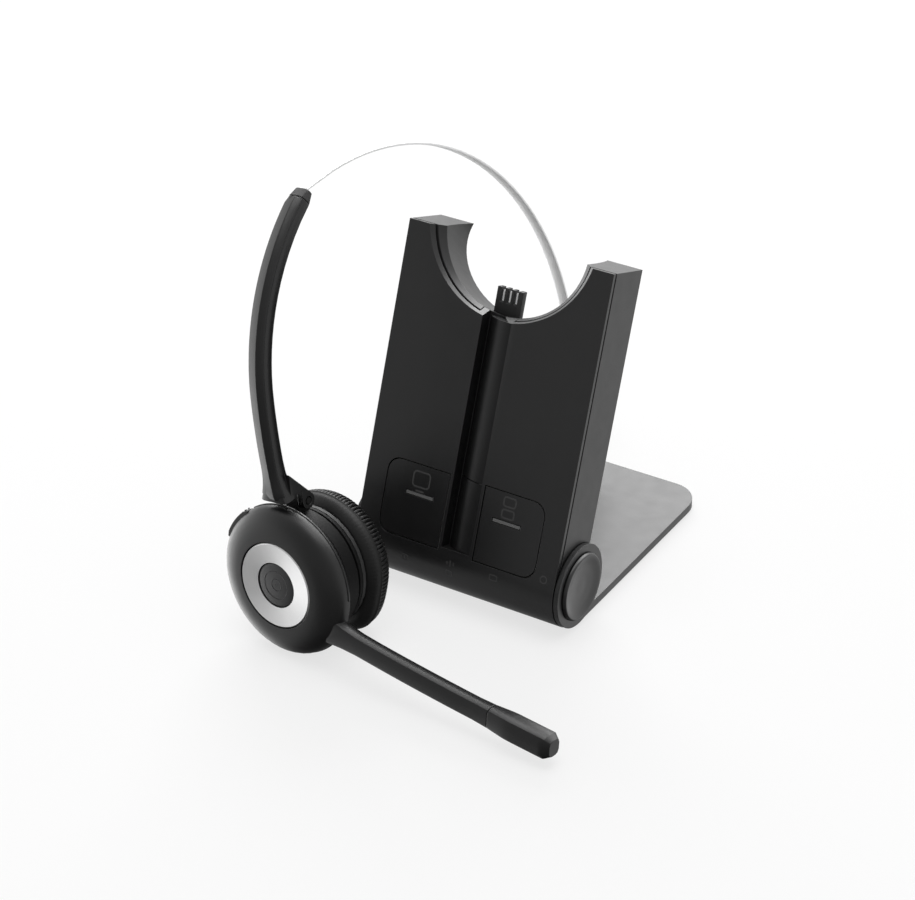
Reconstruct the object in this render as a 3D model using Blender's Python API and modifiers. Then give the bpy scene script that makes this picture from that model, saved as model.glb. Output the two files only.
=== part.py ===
"""Wireless one-ear office headset standing round its folding charging stand."""

import math

import bmesh
import bpy
from mathutils import Matrix, Vector

MM = 0.001
DEG = math.pi / 180

# Fits
GAP = 0.3 * MM            # between pieces that touch
RUNNING = 0.35 * MM       # round a piece that slides or turns

# Stand: the panel leans back over a folding foot
PANEL_WIDTH = 82.0 * MM
PANEL_DEPTH = 21.2 * MM
PANEL_HEIGHT = 113.2 * MM     # hinge axis to the tops of the horns
PANEL_LEAN = 21.44 * DEG
BARREL_RADIUS = 15.7 * MM     # hinge axis to the front of the fascia
LIP_THICK = 1.5 * MM          # edge of the fascia that shows
SHADOW_GAP = 0.8 * MM         # dark line between fascia and casing
CASING_WALL = 2.0 * MM
FASCIA_DEPTH = 7.7 * MM       # front face to the back of the fascia's inner block
HOUSE_TOP = 80.0 * MM         # top of the hollow below the cradle
CHIN_SWEEP = 88.0 * DEG       # how far the fascia wraps under the barrel

# Cradle: a chamfered round mouth that runs back into an oval
CRADLE_FRONT_Z = 120.0 * MM
CRADLE_FRONT_R = 33.5 * MM
CRADLE_CREASE_Z = 116.3 * MM
CRADLE_CREASE_R = 28.4 * MM
CRADLE_CREASE_DEPTH = 4.5 * MM
CRADLE_BACK_Z = 106.5 * MM
CRADLE_BACK_WIDE = 28.5 * MM
CRADLE_BACK_HIGH = 22.4 * MM
CRADLE_STEPS = 72

# Boom channel down the front
CHANNEL_LEFT = -5.7 * MM
CHANNEL_FLOOR = 4.2 * MM      # width of its flat floor
CHANNEL_RAMP = 7.5 * MM       # width of its rounded right side
CHANNEL_DEPTH = 5.6 * MM
CHANNEL_BOTTOM = 2.5 * MM
TROUGH_WALL = 2.2 * MM

# Call keys
KEY_BOTTOM = 1.5 * MM
KEY_TOP = 28.8 * MM
KEY_OUTER = 32.2 * MM
KEY_INNER_LEFT = 7.2 * MM     # distances of the keys' inner edges from the middle
KEY_INNER_RIGHT = 7.6 * MM
KEY_CORNER = 5.0 * MM
KEY_THICK = 1.8 * MM
KEY_SINK = 0.15 * MM          # how far the keys lie below the fascia's face
KEY_TRAVEL = 0.6 * MM
KEY_STEM_R = 2.0 * MM
KEY_STEM_X = 18.0 * MM
KEY_STEM_Z = 14.0 * MM
BAR_LENGTH = 11.0 * MM
BAR_WIDTH = 1.1 * MM
BAR_DEPTH = 0.8 * MM
BAR_HEIGHT = 18.0 * MM
POCKET_INNER = 9.8 * MM       # hollows in the back of the fascia
POCKET_OUTER = 29.0 * MM
POCKET_TOP = 76.0 * MM
POCKET_SKIN = 2.4 * MM       # face left in front of the hollows

# Board, switches, charging post and socket
BOARD_THICK = 1.6 * MM
BOARD_LOW = 8.0 * MM
BOARD_TOP = 77.0 * MM
SWITCH_SIZE = 6.0 * MM
SWITCH_HEIGHT = 3.4 * MM
POST_X = -1.8 * MM
POST_DEPTH = 11.0 * MM        # behind the front face
POST_WIDTH = 10.4 * MM
POST_THICK = 3.0 * MM
POST_TOP = 96.6 * MM
SLOT_COUNT = 3
SLOT_WIDTH = 1.5 * MM
SLOT_DEPTH = 5.2 * MM
BLADE_THICK = 0.8 * MM
SOCKET_WIDTH = 8.0 * MM
SOCKET_HEIGHT = 3.2 * MM
SOCKET_WALL = 0.5 * MM
SOCKET_Z = 16.0 * MM

# Casing screws, driven from the back
SCREW_X = 33.6 * MM
SCREW_LOW = 12.0 * MM
SCREW_HIGH = 70.0 * MM
SCREW_HEAD_R = 2.6 * MM
SCREW_HEAD_H = 1.4 * MM
SCREW_R = 1.2 * MM

# Foot
FOOT_REACH = 91.0 * MM        # hinge axis to the back edge
FOOT_THICK = 3.0 * MM
FOOT_CORNER = 11.0 * MM
MAT_THICK = 0.8 * MM
MAT_INSET = 3.0 * MM
FOOT_FRONT = 12.0 * MM        # front edge of the plate, behind the hinge axis
DISC_STEP = 0.2 * MM          # the disc's rim, in from the barrel's
DISC_THICK = 1.7 * MM
PIVOT_CAP_R = 11.9 * MM
PIVOT_CAP_EDGE = 0.9 * MM
PIVOT_CAP_DOME = 1.1 * MM
CAP_RINGS = 5
PIN_RADIUS = 4.0 * MM
WASHER_R = 7.0 * MM
WASHER_THICK = 1.0 * MM

# Headset: where its cup stands, and how it is turned
CUP_X = -38.7 * MM
CUP_AHEAD = 68.0 * MM         # in front of the hinge axis
CUP_Z = 28.5 * MM
CUP_TURN = 6.78 * DEG
CUP_TIP_UP = 7.13 * DEG
BAND_TURN = 10.0 * DEG        # headband's lean in the plane of the cup

# Cup, along its axis from the face of the ring
RING_R = 15.6 * MM
RING_THICK = 1.2 * MM
BUTTON_R = 8.0 * MM
BUTTON_TRAVEL = 0.6 * MM
CAP_R = 27.3 * MM
CAP_DEPTH = 8.6 * MM
CAP_WALL = 2.0 * MM
CAP_STEPS = 52
HOUSING_STEP = 1.9 * MM       # the housing's rim, in from the cap's
NECK_R = 19.5 * MM
NECK_FRONT = 12.0 * MM
NECK_BACK = 19.0 * MM
HOUSING_BACK = 21.0 * MM
HOUSING_BORE = 17.2 * MM
NECK_RING_R = 22.6 * MM
CUSHION_R = 24.8 * MM
CUSHION_FRONT = 23.2 * MM
CUSHION_BACK = 35.2 * MM
CUSHION_DISH = 2.6 * MM
PLATE_THICK = 1.5 * MM
PLEATS = 36
PLEAT_DEPTH = 0.7 * MM
HEADSET_BOARD_THICK = 1.2 * MM
BATTERY_SIZE = Vector((23.0, 15.0, 3.4)) * MM
MAGNET_R = 9.0 * MM
MAGNET_DEPTH = 2.2 * MM

# Boom, in the plane of the cup
BOOM_REACH = 114.8 * MM
BOOM_ROOT_Y = -9.2 * MM
BOOM_TIP_Y = -19.6 * MM
BOOM_ROOT_DEPTH = 5.6 * MM
BOOM_TIP_DEPTH = 10.5 * MM
BOOM_HIGH = 7.6 * MM
BOOM_WIDE = 5.4 * MM
BOOM_ROOT_HIGH = 14.5 * MM
TIP_LENGTH = 25.0 * MM
TIP_HIGH = 8.4 * MM
TIP_WIDE = 7.4 * MM
MIC_R = 2.2 * MM
BOOM_EDGE = 1.7 * MM
TIP_SHRINK = 0.72        # rounding of the very end

# Volume key on the rim of the cap
VOLUME_FROM = 131.0 * DEG
VOLUME_TO = 163.0 * DEG
VOLUME_PROUD = 0.6 * MM
VOLUME_DEEP = 3.0 * MM
VOLUME_HIGH = 3.2 * MM
VOLUME_TRAVEL = 0.5 * MM

# Headband, in its own plane: behind the ring's face, and up from the cup
ARM_CLEAR = 3.0 * MM          # from the cap's rim up to the arm's foot
ARM_WAIST = 67.0 * MM
ARM_END = 129.0 * MM
ARM_BACKSET = 4.4 * MM
ARM_FOOT_BACK = 2.8 * MM      # how far the foot lies behind the waist
ARM_BEND = 83.3 * MM
ARM_WIDE = 6.6 * MM
ARM_THICK = 6.0 * MM
ARM_FOOT_WIDE = 12.0 * MM
ARM_FOOT_THICK = 7.4 * MM
ARM_FLARE = 12.0 * MM
GUIDE_LENGTH = 3.6 * MM
COVER_LOW = 46.0 * MM
COVER_HIGH = 100.0 * MM
COVER_WIDE = 3.0 * MM
COVER_THICK = 1.0 * MM
COVER_EDGE = 0.4 * MM
EAR_RISE = 9.0 * MM          # where the ears run out on the arm's back
TILT_DROP = 3.1 * MM          # the tilt pin, down from the arm's foot
TILT_BACK = 15.5 * MM
TILT_PIN_R = 1.2 * MM
LUG_R = 2.9 * MM
LUG_WIDE = 5.6 * MM
EAR_THICK = 2.4 * MM
STRIP_WIDE = 4.6 * MM
STRIP_THICK = 0.9 * MM
STRIP_SHANK = 24.0 * MM
SHANK_RISE = 19.0 * MM         # its height in the arm
STRIP_BEND = 107.0 * MM       # radius of the band over the head
STRIP_SPAN = 172.0 * MM       # ring's face to the band's far side
STRIP_LOW = 30.0 * MM
STRIP_TOP = 137.0 * MM
STOP_LENGTH = 3.0 * MM
PAD_HALF = 19.0 * MM
PAD_HIGH = 15.0 * MM
PAD_THICK = 6.5 * MM
PAD_BAR_THICK = 2.4 * MM

# Worked out from the sizes above
HALF = PANEL_WIDTH / 2
DISC_RADIUS = BARREL_RADIUS - DISC_STEP
HOUSING_R = CAP_R - HOUSING_STEP
ARM_FOOT = CAP_R + ARM_CLEAR
TILT_UP = ARM_FOOT - TILT_DROP
FRONT = -BARREL_RADIUS
BACK = PANEL_DEPTH - BARREL_RADIUS
LIP_BACK = FRONT + LIP_THICK
CASING_FRONT = LIP_BACK + SHADOW_GAP
BLOCK_BACK = FRONT + FASCIA_DEPTH
BLOCK_HALF = HALF - CASING_WALL - GAP
CASING_R = BARREL_RADIUS - LIP_THICK - GAP
BOARD_FRONT = BLOCK_BACK + GAP
BOARD_BACK = BOARD_FRONT + BOARD_THICK
DISC_IN = HALF + GAP
DISC_OUT = DISC_IN + DISC_THICK
MAT_LENGTH = FOOT_REACH - FOOT_FRONT - 2 * MAT_INSET
HINGE_Y = -(FOOT_FRONT + MAT_INSET + MAT_LENGTH / 2)
HINGE_Z = BARREL_RADIUS + GAP

PLASTIC = (0.022, 0.022, 0.024)
DARK = (0.012, 0.012, 0.013)
STEEL = (0.75, 0.76, 0.77)
PALE = (0.80, 0.81, 0.82)
GREEN = (0.02, 0.10, 0.05)
RUBBER = (0.015, 0.015, 0.015)


def clear_scene():
    for obj in list(bpy.data.objects):
        bpy.data.objects.remove(obj)


def collection(name):
    made = bpy.data.collections.new(name)
    bpy.context.scene.collection.children.link(made)
    return made


clear_scene()
PARTS = collection("headset_and_stand")
CUTTERS = collection("cutters")
MATERIALS = {}


def material(name, colour, roughness, metallic=0.0):
    if name not in MATERIALS:
        made = bpy.data.materials.new(name)
        made.use_nodes = True
        shader = made.node_tree.nodes["Principled BSDF"]
        shader.inputs["Base Color"].default_value = (*colour, 1.0)
        shader.inputs["Roughness"].default_value = roughness
        shader.inputs["Metallic"].default_value = metallic
        MATERIALS[name] = made
    return MATERIALS[name]


def frame(name, parent=None, location=(0, 0, 0), rotation=(0, 0, 0)):
    """An empty that carries the pieces of one body or joint."""
    made = bpy.data.objects.new(name, None)
    made.location = location
    made.rotation_euler = rotation
    made.parent = parent
    PARTS.objects.link(made)
    return made


def add(name, mesh, parent, finish=None):
    """A mesh as a named part, or as a cutter where it has no finish."""
    obj = bpy.data.objects.new(name, mesh)
    obj.parent = parent
    if finish is None:
        CUTTERS.objects.link(obj)
        obj.hide_render = True
        obj.display_type = "WIRE"
        return obj
    PARTS.objects.link(obj)
    mesh.materials.clear()
    mesh.materials.append(finish)
    mesh.shade_smooth()
    mesh.set_sharp_from_angle(angle=35 * DEG)
    return obj


def as_mesh(obj):
    """The evaluated mesh of a scratch object, with its doubles merged."""
    bpy.context.view_layer.update()
    shown = obj.evaluated_get(bpy.context.evaluated_depsgraph_get())
    mesh = bpy.data.meshes.new_from_object(shown)
    bpy.data.objects.remove(obj)
    tidy(mesh)
    return mesh


def tidy(mesh):
    work = bmesh.new()
    work.from_mesh(mesh)
    bmesh.ops.remove_doubles(work, verts=work.verts, dist=0.002 * MM)
    bmesh.ops.recalc_face_normals(work, faces=work.faces)
    work.to_mesh(mesh)
    work.free()


def block(low, high, bevel=0.0):
    """A box between two corners, with its edges rounded."""
    size = Vector(high) - Vector(low)
    middle = (Vector(high) + Vector(low)) / 2
    work = bmesh.new()
    place = Matrix.Translation(middle) @ Matrix.Diagonal((*size, 1.0))
    bmesh.ops.create_cube(work, size=1.0, matrix=place)
    if bevel > 0:
        bmesh.ops.bevel(work, geom=work.edges[:], offset=bevel, segments=2, profile=0.5, affect="EDGES")
    mesh = bpy.data.meshes.new("block")
    work.to_mesh(mesh)
    work.free()
    return mesh


def rod(start, end, radius, end_radius=None, sides=32):
    """A cylinder or cone between two points."""
    start, end = Vector(start), Vector(end)
    along = end - start
    turn = along.to_track_quat("Z", "Y").to_matrix().to_4x4()
    work = bmesh.new()
    place = Matrix.Translation((start + end) / 2) @ turn
    far = radius if end_radius is None else end_radius
    bmesh.ops.create_cone(work, cap_ends=True, segments=sides, radius1=radius, radius2=far,
                          depth=along.length, matrix=place)
    mesh = bpy.data.meshes.new("rod")
    work.to_mesh(mesh)
    work.free()
    return mesh


def turned(profile, steps=48, closed=True):
    """A profile of (radius, height) points, turned about Z."""
    mesh = bpy.data.meshes.new("profile")
    points = [(r, 0.0, z) for r, z in profile]
    edges = [(i, i + 1) for i in range(len(points) - 1)]
    if closed:
        edges.append((len(points) - 1, 0))
    mesh.from_pydata(points, edges, [])
    obj = bpy.data.objects.new("profile", mesh)
    CUTTERS.objects.link(obj)
    screw = obj.modifiers.new("Screw", "SCREW")
    screw.steps = steps
    screw.render_steps = steps
    screw.use_merge_vertices = True
    screw.merge_threshold = 0.01 * MM
    return as_mesh(obj)


def prism(outline, thickness):
    """A flat outline in XY, extruded evenly to both sides of Z = 0."""
    data = bpy.data.curves.new("outline", "CURVE")
    data.dimensions = "2D"
    data.fill_mode = "BOTH"
    data.extrude = thickness / 2
    spline = data.splines.new("POLY")
    spline.points.add(len(outline) - 1)
    for point, (x, y) in zip(spline.points, outline):
        point.co = (x, y, 0.0, 1.0)
    spline.use_cyclic_u = True
    obj = bpy.data.objects.new("outline", data)
    CUTTERS.objects.link(obj)
    return as_mesh(obj)


def loft(sections):
    """A closed skin through rings of points, capped at both ends."""
    work = bmesh.new()
    rings = [[work.verts.new(p) for p in ring] for ring in sections]
    count = len(rings[0])
    for one, two in zip(rings, rings[1:]):
        for i in range(count):
            j = (i + 1) % count
            work.faces.new((one[i], one[j], two[j], two[i]))
    work.faces.new(rings[0])
    work.faces.new(rings[-1])
    bmesh.ops.recalc_face_normals(work, faces=work.faces)
    mesh = bpy.data.meshes.new("loft")
    work.to_mesh(mesh)
    work.free()
    return mesh


def arc(centre, radius, start, end, steps):
    """Points of a circular arc, angles in radians."""
    turn = (end - start) / steps
    return [(centre[0] + radius * math.cos(start + i * turn),
             centre[1] + radius * math.sin(start + i * turn)) for i in range(steps + 1)]


def rounded(half_wide, half_high, radius, steps=2):
    """A rectangle about the origin with rounded corners, anticlockwise."""
    radius = min(radius, half_wide * 0.98, half_high * 0.98)
    points = []
    for quarter, (sx, sy) in enumerate(((1, 1), (-1, 1), (-1, -1), (1, -1))):
        centre = (sx * (half_wide - radius), sy * (half_high - radius))
        points += arc(centre, radius, quarter * math.pi / 2, (quarter + 1) * math.pi / 2, steps)
    return points


def moved(mesh, matrix):
    mesh.transform(matrix)
    if matrix.determinant() < 0:
        mesh.flip_normals()
    return mesh


def boolean(target, mesh, operation):
    """Cut or join a mesh that lies in the target's own frame."""
    tool = add(f"{target.name}_{operation.lower()}_{len(target.modifiers)}", mesh, target.parent)
    step = target.modifiers.new(tool.name, "BOOLEAN")
    step.operation = operation
    step.solver = "EXACT"
    step.object = tool


def cut(target, *meshes):
    for mesh in meshes:
        boolean(target, mesh, "DIFFERENCE")


def join(target, *meshes):
    for mesh in meshes:
        boolean(target, mesh, "UNION")


TURN_TO_YZ = Matrix(((0, 0, 1, 0), (1, 0, 0, 0), (0, 1, 0, 0), (0, 0, 0, 1)))
TURN_TO_XZ = Matrix(((1, 0, 0, 0), (0, 0, 1, 0), (0, 1, 0, 0), (0, 0, 0, 1)))


def side_prism(outline, half_width):
    """An outline of (y, z) points, extruded across the stand."""
    return moved(prism(outline, 2 * half_width), TURN_TO_YZ)


def face_prism(outline, front, back):
    """An outline of (x, z) points, extruded through the panel from front to back."""
    mesh = moved(prism(outline, back - front), TURN_TO_XZ)
    return moved(mesh, Matrix.Translation((0, (front + back) / 2, 0)))


def cradle_cutter():
    """The hollow that the cup's neck drops into, as a loft of three rings across the panel."""
    front = (FRONT, CRADLE_FRONT_Z, CRADLE_FRONT_R, CRADLE_FRONT_R)
    crease = (FRONT + CRADLE_CREASE_DEPTH, CRADLE_CREASE_Z, CRADLE_CREASE_R, CRADLE_CREASE_R)
    back = (BACK, CRADLE_BACK_Z, CRADLE_BACK_WIDE, CRADLE_BACK_HIGH)
    before = [2 * a - b for a, b in zip(front, crease)]
    beyond = [a + (a - b) * 0.1 for a, b in zip(back, crease)]
    sections = []
    for y, z, wide, high in (before, crease, beyond):
        ring = arc((0, 0), 1.0, 0, 2 * math.pi, CRADLE_STEPS)[:-1]
        sections.append([Vector((wide * a, y, z + high * b)) for a, b in ring])
    return loft(sections)


def channel_cutter():
    """The boom channel: a sharp left wall, a flat floor and a rounded right side."""
    floor_end = CHANNEL_LEFT + CHANNEL_FLOOR
    floor = FRONT + CHANNEL_DEPTH
    above = FRONT - 2 * MM
    steps = 8
    ramp = []
    for i in range(steps + 1):
        part = i / steps
        rise = (1 - math.cos(math.pi * part)) / 2
        ramp.append((floor_end + CHANNEL_RAMP * part, floor - CHANNEL_DEPTH * rise))
    outline = [(CHANNEL_LEFT, above), (CHANNEL_LEFT, floor)] + ramp + [(ramp[-1][0], above)]
    height = CRADLE_FRONT_Z - CHANNEL_BOTTOM
    mesh = prism(outline, height)
    return moved(mesh, Matrix.Translation((0, 0, CHANNEL_BOTTOM + height / 2)))


def key_outline(side, grow):
    """Outline of one call key; its outer corners are round."""
    inner = KEY_INNER_LEFT if side < 0 else KEY_INNER_RIGHT
    low, high = KEY_BOTTOM - grow, KEY_TOP + grow
    near, far = inner - grow, KEY_OUTER + grow
    radius = KEY_CORNER
    points = [(near, low)]
    points += arc((far - radius, low + radius), radius, -math.pi / 2, 0, 5)
    points += arc((far - radius, high - radius), radius, 0, math.pi / 2, 5)
    points.append((near, high))
    return [(side * x, z) for x, z in points]


def screw_places():
    return [(x, z) for x in (-SCREW_X, SCREW_X) for z in (SCREW_LOW, SCREW_HIGH)]


def make_stand_shell(parent):
    outline = [(BACK, PANEL_HEIGHT), (-CASING_R, PANEL_HEIGHT)]
    outline += arc((0, 0), CASING_R, math.pi, 2 * math.pi + math.acos(BACK / CASING_R), 36)
    finish = material("casing_plastic", PLASTIC, 0.38)
    shell = add("stand_shell", side_prism(outline, HALF), parent, finish)
    inside = BLOCK_HALF + GAP
    bottom = -CASING_R / 2
    trim = HALF + MM
    cut(shell,
        block((-trim, -BARREL_RADIUS, 0), (trim, CASING_FRONT, PANEL_HEIGHT + MM)),
        block((-inside, -BARREL_RADIUS, bottom), (inside, BACK - CASING_WALL, HOUSE_TOP)),
        rod((-inside, 0, 0), (inside, 0, 0), WASHER_R + GAP),
        trough_block(-BARREL_RADIUS, GAP), cradle_cutter())
    for side in (-1, 1):
        cut(shell, rod((side * (inside - MM), 0, 0), (side * (HALF + MM), 0, 0), PIN_RADIUS + RUNNING))
    post_low = (POST_X - POST_WIDTH / 2 - GAP, FRONT + POST_DEPTH - POST_THICK / 2 - GAP, HOUSE_TOP - MM)
    post_high = (POST_X + POST_WIDTH / 2 + GAP, FRONT + POST_DEPTH + POST_THICK / 2 + GAP, POST_TOP)
    cut(shell, block(post_low, post_high))
    half_wide = SOCKET_WIDTH / 2 + GAP
    half_high = SOCKET_HEIGHT / 2 + GAP
    cut(shell, block((-half_wide, BACK - CASING_WALL - MM, SOCKET_Z - half_high),
                     (half_wide, BACK + MM, SOCKET_Z + half_high)))
    for x, z in screw_places():
        cut(shell, rod((x, BACK - CASING_WALL - MM, z), (x, BACK + MM, z), SCREW_R + GAP, sides=20))
        cut(shell, rod((x, BACK - SCREW_HEAD_H, z), (x, BACK + MM, z), SCREW_HEAD_R + GAP, sides=24))
    return shell


def trough_block(front, grow):
    """The back of the boom channel where it passes through the casing, up to the cradle."""
    top = CRADLE_FRONT_Z - CRADLE_FRONT_R + 4 * MM
    return block((CHANNEL_LEFT - TROUGH_WALL - grow, front, HOUSE_TOP - MM),
                 (CHANNEL_LEFT + CHANNEL_FLOOR + CHANNEL_RAMP + grow, BLOCK_BACK + grow, top + grow))


def make_fascia(parent):
    chin_end = math.pi + CHIN_SWEEP
    outer = arc((0, 0), BARREL_RADIUS, math.pi, chin_end, 14)
    inner = arc((0, 0), BARREL_RADIUS - LIP_THICK, chin_end, math.pi, 14)
    outline = [(LIP_BACK, PANEL_HEIGHT), (FRONT, PANEL_HEIGHT)] + outer + inner
    finish = material("fascia_plastic", PLASTIC, 0.42)
    fascia = add("front_fascia", side_prism(outline, HALF), parent, finish)
    block_top = HOUSE_TOP - GAP
    root = LIP_BACK - LIP_THICK / 2
    join(fascia, block((-BLOCK_HALF, root, 0), (BLOCK_HALF, BLOCK_BACK, block_top)))
    join(fascia, trough_block(root, 0))
    for side in (-1, 1):
        near, far = side * POCKET_INNER, side * POCKET_OUTER
        cut(fascia, block((min(near, far), FRONT + POCKET_SKIN, KEY_BOTTOM + 2 * MM),
                          (max(near, far), BLOCK_BACK + MM, POCKET_TOP)))
        floor = FRONT + KEY_SINK + KEY_THICK + KEY_TRAVEL + GAP
        cut(fascia, face_prism(key_outline(side, RUNNING), FRONT - MM, floor))
    cut(fascia, channel_cutter(), cradle_cutter())
    for x, z in screw_places():
        cut(fascia, rod((x, BLOCK_BACK - 4 * MM, z), (x, BLOCK_BACK + MM, z), SCREW_R + GAP, sides=20))
    return fascia


def make_call_key(side, parent):
    word = "left" if side < 0 else "right"
    front = FRONT + KEY_SINK
    back = front + KEY_THICK
    finish = material("key_plastic", DARK, 0.22)
    key = add(f"{word}_call_key", face_prism(key_outline(side, 0), front, back), parent, finish)
    x = side * KEY_STEM_X
    stem_end = BOARD_FRONT - SWITCH_HEIGHT - KEY_TRAVEL - GAP
    join(key, rod((x, back - MM, KEY_STEM_Z), (x, stem_end, KEY_STEM_Z), KEY_STEM_R, sides=24))
    half = BAR_LENGTH / 2
    low = (x - half, front, BAR_HEIGHT - BAR_WIDTH / 2)
    high = (x + half, front + BAR_DEPTH, BAR_HEIGHT + BAR_WIDTH / 2)
    spare = Vector((GAP, GAP, GAP))
    cut(key, block(Vector(low) - spare, Vector(high) + spare))
    light = material("bar_lens", PALE, 0.3)
    add(f"{word}_key_bar", block(low, high), parent, light)


def make_stand_inside(parent):
    green = material("board_laminate", GREEN, 0.5)
    half = BLOCK_HALF - MM
    board = add("stand_board", block((-half, BOARD_FRONT, BOARD_LOW), (half, BOARD_BACK, BOARD_TOP)),
                parent, green)
    for x, z in screw_places():
        cut(board, rod((x, BOARD_FRONT - MM, z), (x, BOARD_BACK + MM, z), SCREW_R + GAP, sides=20))
    dark = material("switch_plastic", DARK, 0.5)
    for side, word in ((-1, "left"), (1, "right")):
        x = side * KEY_STEM_X
        reach = SWITCH_SIZE / 2
        add(f"{word}_key_switch",
            block((x - reach, BOARD_FRONT - SWITCH_HEIGHT, KEY_STEM_Z - reach),
                  (x + reach, BOARD_FRONT - GAP, KEY_STEM_Z + reach), 0.4 * MM), parent, dark)
    make_charge_post(parent)
    steel = material("plated_steel", STEEL, 0.3, 1.0)
    half_wide, half_high = SOCKET_WIDTH / 2, SOCKET_HEIGHT / 2
    socket = add("usb_socket",
                 block((-half_wide, BOARD_BACK + GAP, SOCKET_Z - half_high),
                       (half_wide, BACK - GAP, SOCKET_Z + half_high)), parent, steel)
    wall = SOCKET_WALL
    cut(socket, block((-half_wide + wall, BOARD_BACK + 2 * MM, SOCKET_Z - half_high + wall),
                      (half_wide - wall, BACK + MM, SOCKET_Z + half_high - wall)))
    for index, (x, z) in enumerate(screw_places(), 1):
        head = rod((x, BACK - SCREW_HEAD_H + GAP, z), (x, BACK - GAP, z), SCREW_HEAD_R, sides=24)
        screw = add(f"casing_screw_{index}", head, parent, steel)
        shank_end = BACK - SCREW_HEAD_H + 2 * GAP
        join(screw, rod((x, BLOCK_BACK - 3 * MM, z), (x, shank_end, z), SCREW_R, sides=16))


def make_charge_post(parent):
    """The comb in the cradle, with a contact blade in each of its slots."""
    y = FRONT + POST_DEPTH
    low = (POST_X - POST_WIDTH / 2, y - POST_THICK / 2, BOARD_TOP + GAP)
    high = (POST_X + POST_WIDTH / 2, y + POST_THICK / 2, POST_TOP)
    post = add("charge_post", block(low, high, 0.3 * MM), parent, material("post_plastic", DARK, 0.4))
    steel = material("plated_steel", STEEL, 0.3, 1.0)
    pitch = POST_WIDTH / (SLOT_COUNT + 0.9)
    for index in range(SLOT_COUNT):
        x = POST_X + (index - (SLOT_COUNT - 1) / 2) * pitch
        cut(post, block((x - SLOT_WIDTH / 2, y - POST_THICK, POST_TOP - SLOT_DEPTH),
                        (x + SLOT_WIDTH / 2, y + POST_THICK, POST_TOP + MM)))
        half = SLOT_WIDTH / 2 - GAP
        add(f"contact_blade_{index + 1}",
            block((x - half, y - BLADE_THICK / 2, POST_TOP - SLOT_DEPTH + GAP),
                  (x + half, y + BLADE_THICK / 2, POST_TOP - MM)), parent, steel)


def make_foot(parent):
    """The plate and its two hinge discs; the parent sits on the hinge axis, square to the desk."""
    top = MAT_THICK + FOOT_THICK - HINGE_Z
    bottom = MAT_THICK - HINGE_Z
    outline = [(-DISC_OUT, FOOT_FRONT), (DISC_OUT, FOOT_FRONT)]
    corner = FOOT_CORNER
    outline += arc((DISC_OUT - corner, FOOT_REACH - corner), corner, 0, math.pi / 2, 8)
    outline += arc((-DISC_OUT + corner, FOOT_REACH - corner), corner, math.pi / 2, math.pi, 8)
    plate = moved(prism(outline, FOOT_THICK), Matrix.Translation((0, 0, (top + bottom) / 2)))
    foot = add("foot_plate", plate, parent, material("foot_plastic", PLASTIC, 0.35))
    for side in (-1, 1):
        disc = rod((side * DISC_IN, 0, 0), (side * DISC_OUT, 0, 0), DISC_RADIUS, sides=56)
        strip_x = sorted((side * DISC_IN, side * (DISC_OUT - 0.02 * MM)))
        strip = block((strip_x[0], 0, bottom), (strip_x[1], FOOT_FRONT + MM, top))
        join(foot, strip, disc)
        cut(foot, rod((side * (DISC_IN - MM), 0, 0), (side * (DISC_OUT + MM), 0, 0), PIN_RADIUS + GAP))
    rubber = material("mat_rubber", RUBBER, 0.8)
    half = DISC_OUT - MAT_INSET
    start = FOOT_FRONT + MAT_INSET
    mat = rounded(half, MAT_LENGTH / 2, FOOT_CORNER - MAT_INSET, 6)
    mesh = moved(prism(mat, MAT_THICK - 0.05 * MM),
                 Matrix.Translation((0, start + MAT_LENGTH / 2, -HINGE_Z + (MAT_THICK - 0.05 * MM) / 2)))
    add("anti_slip_mat", mesh, parent, rubber)
    cap_plastic = material("cap_plastic", PLASTIC, 0.3)
    steel = material("plated_steel", STEEL, 0.3, 1.0)
    inside = BLOCK_HALF
    for side, word in ((-1, "left"), (1, "right")):
        edge = PIVOT_CAP_EDGE
        profile = [(0, edge + PIVOT_CAP_DOME)]
        for i in range(1, CAP_RINGS):
            part = i / CAP_RINGS
            profile.append((PIVOT_CAP_R * part, edge + PIVOT_CAP_DOME * math.cos(part * math.pi / 2)))
        profile += [(PIVOT_CAP_R, edge), (PIVOT_CAP_R, 0), (0, 0)]
        turn = Matrix.Rotation(side * math.pi / 2, 4, "Y")
        place = Matrix.Translation((side * (DISC_OUT + GAP), 0, 0))
        add(f"pivot_cap_{word}", moved(turned(profile, 36, False), place @ turn), parent, cap_plastic)
        pin_in = inside - WASHER_THICK - MM
        pin = rod((side * pin_in, 0, 0), (side * DISC_OUT, 0, 0), PIN_RADIUS)
        add(f"hinge_pin_{word}", pin, parent, steel)
        near, far = inside - WASHER_THICK, inside
        bore = PIN_RADIUS + GAP
        ring = turned([(bore, far), (WASHER_R, far), (WASHER_R, near), (bore, near)], 24)
        add(f"hinge_washer_{word}", moved(ring, turn), parent, steel)


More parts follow.
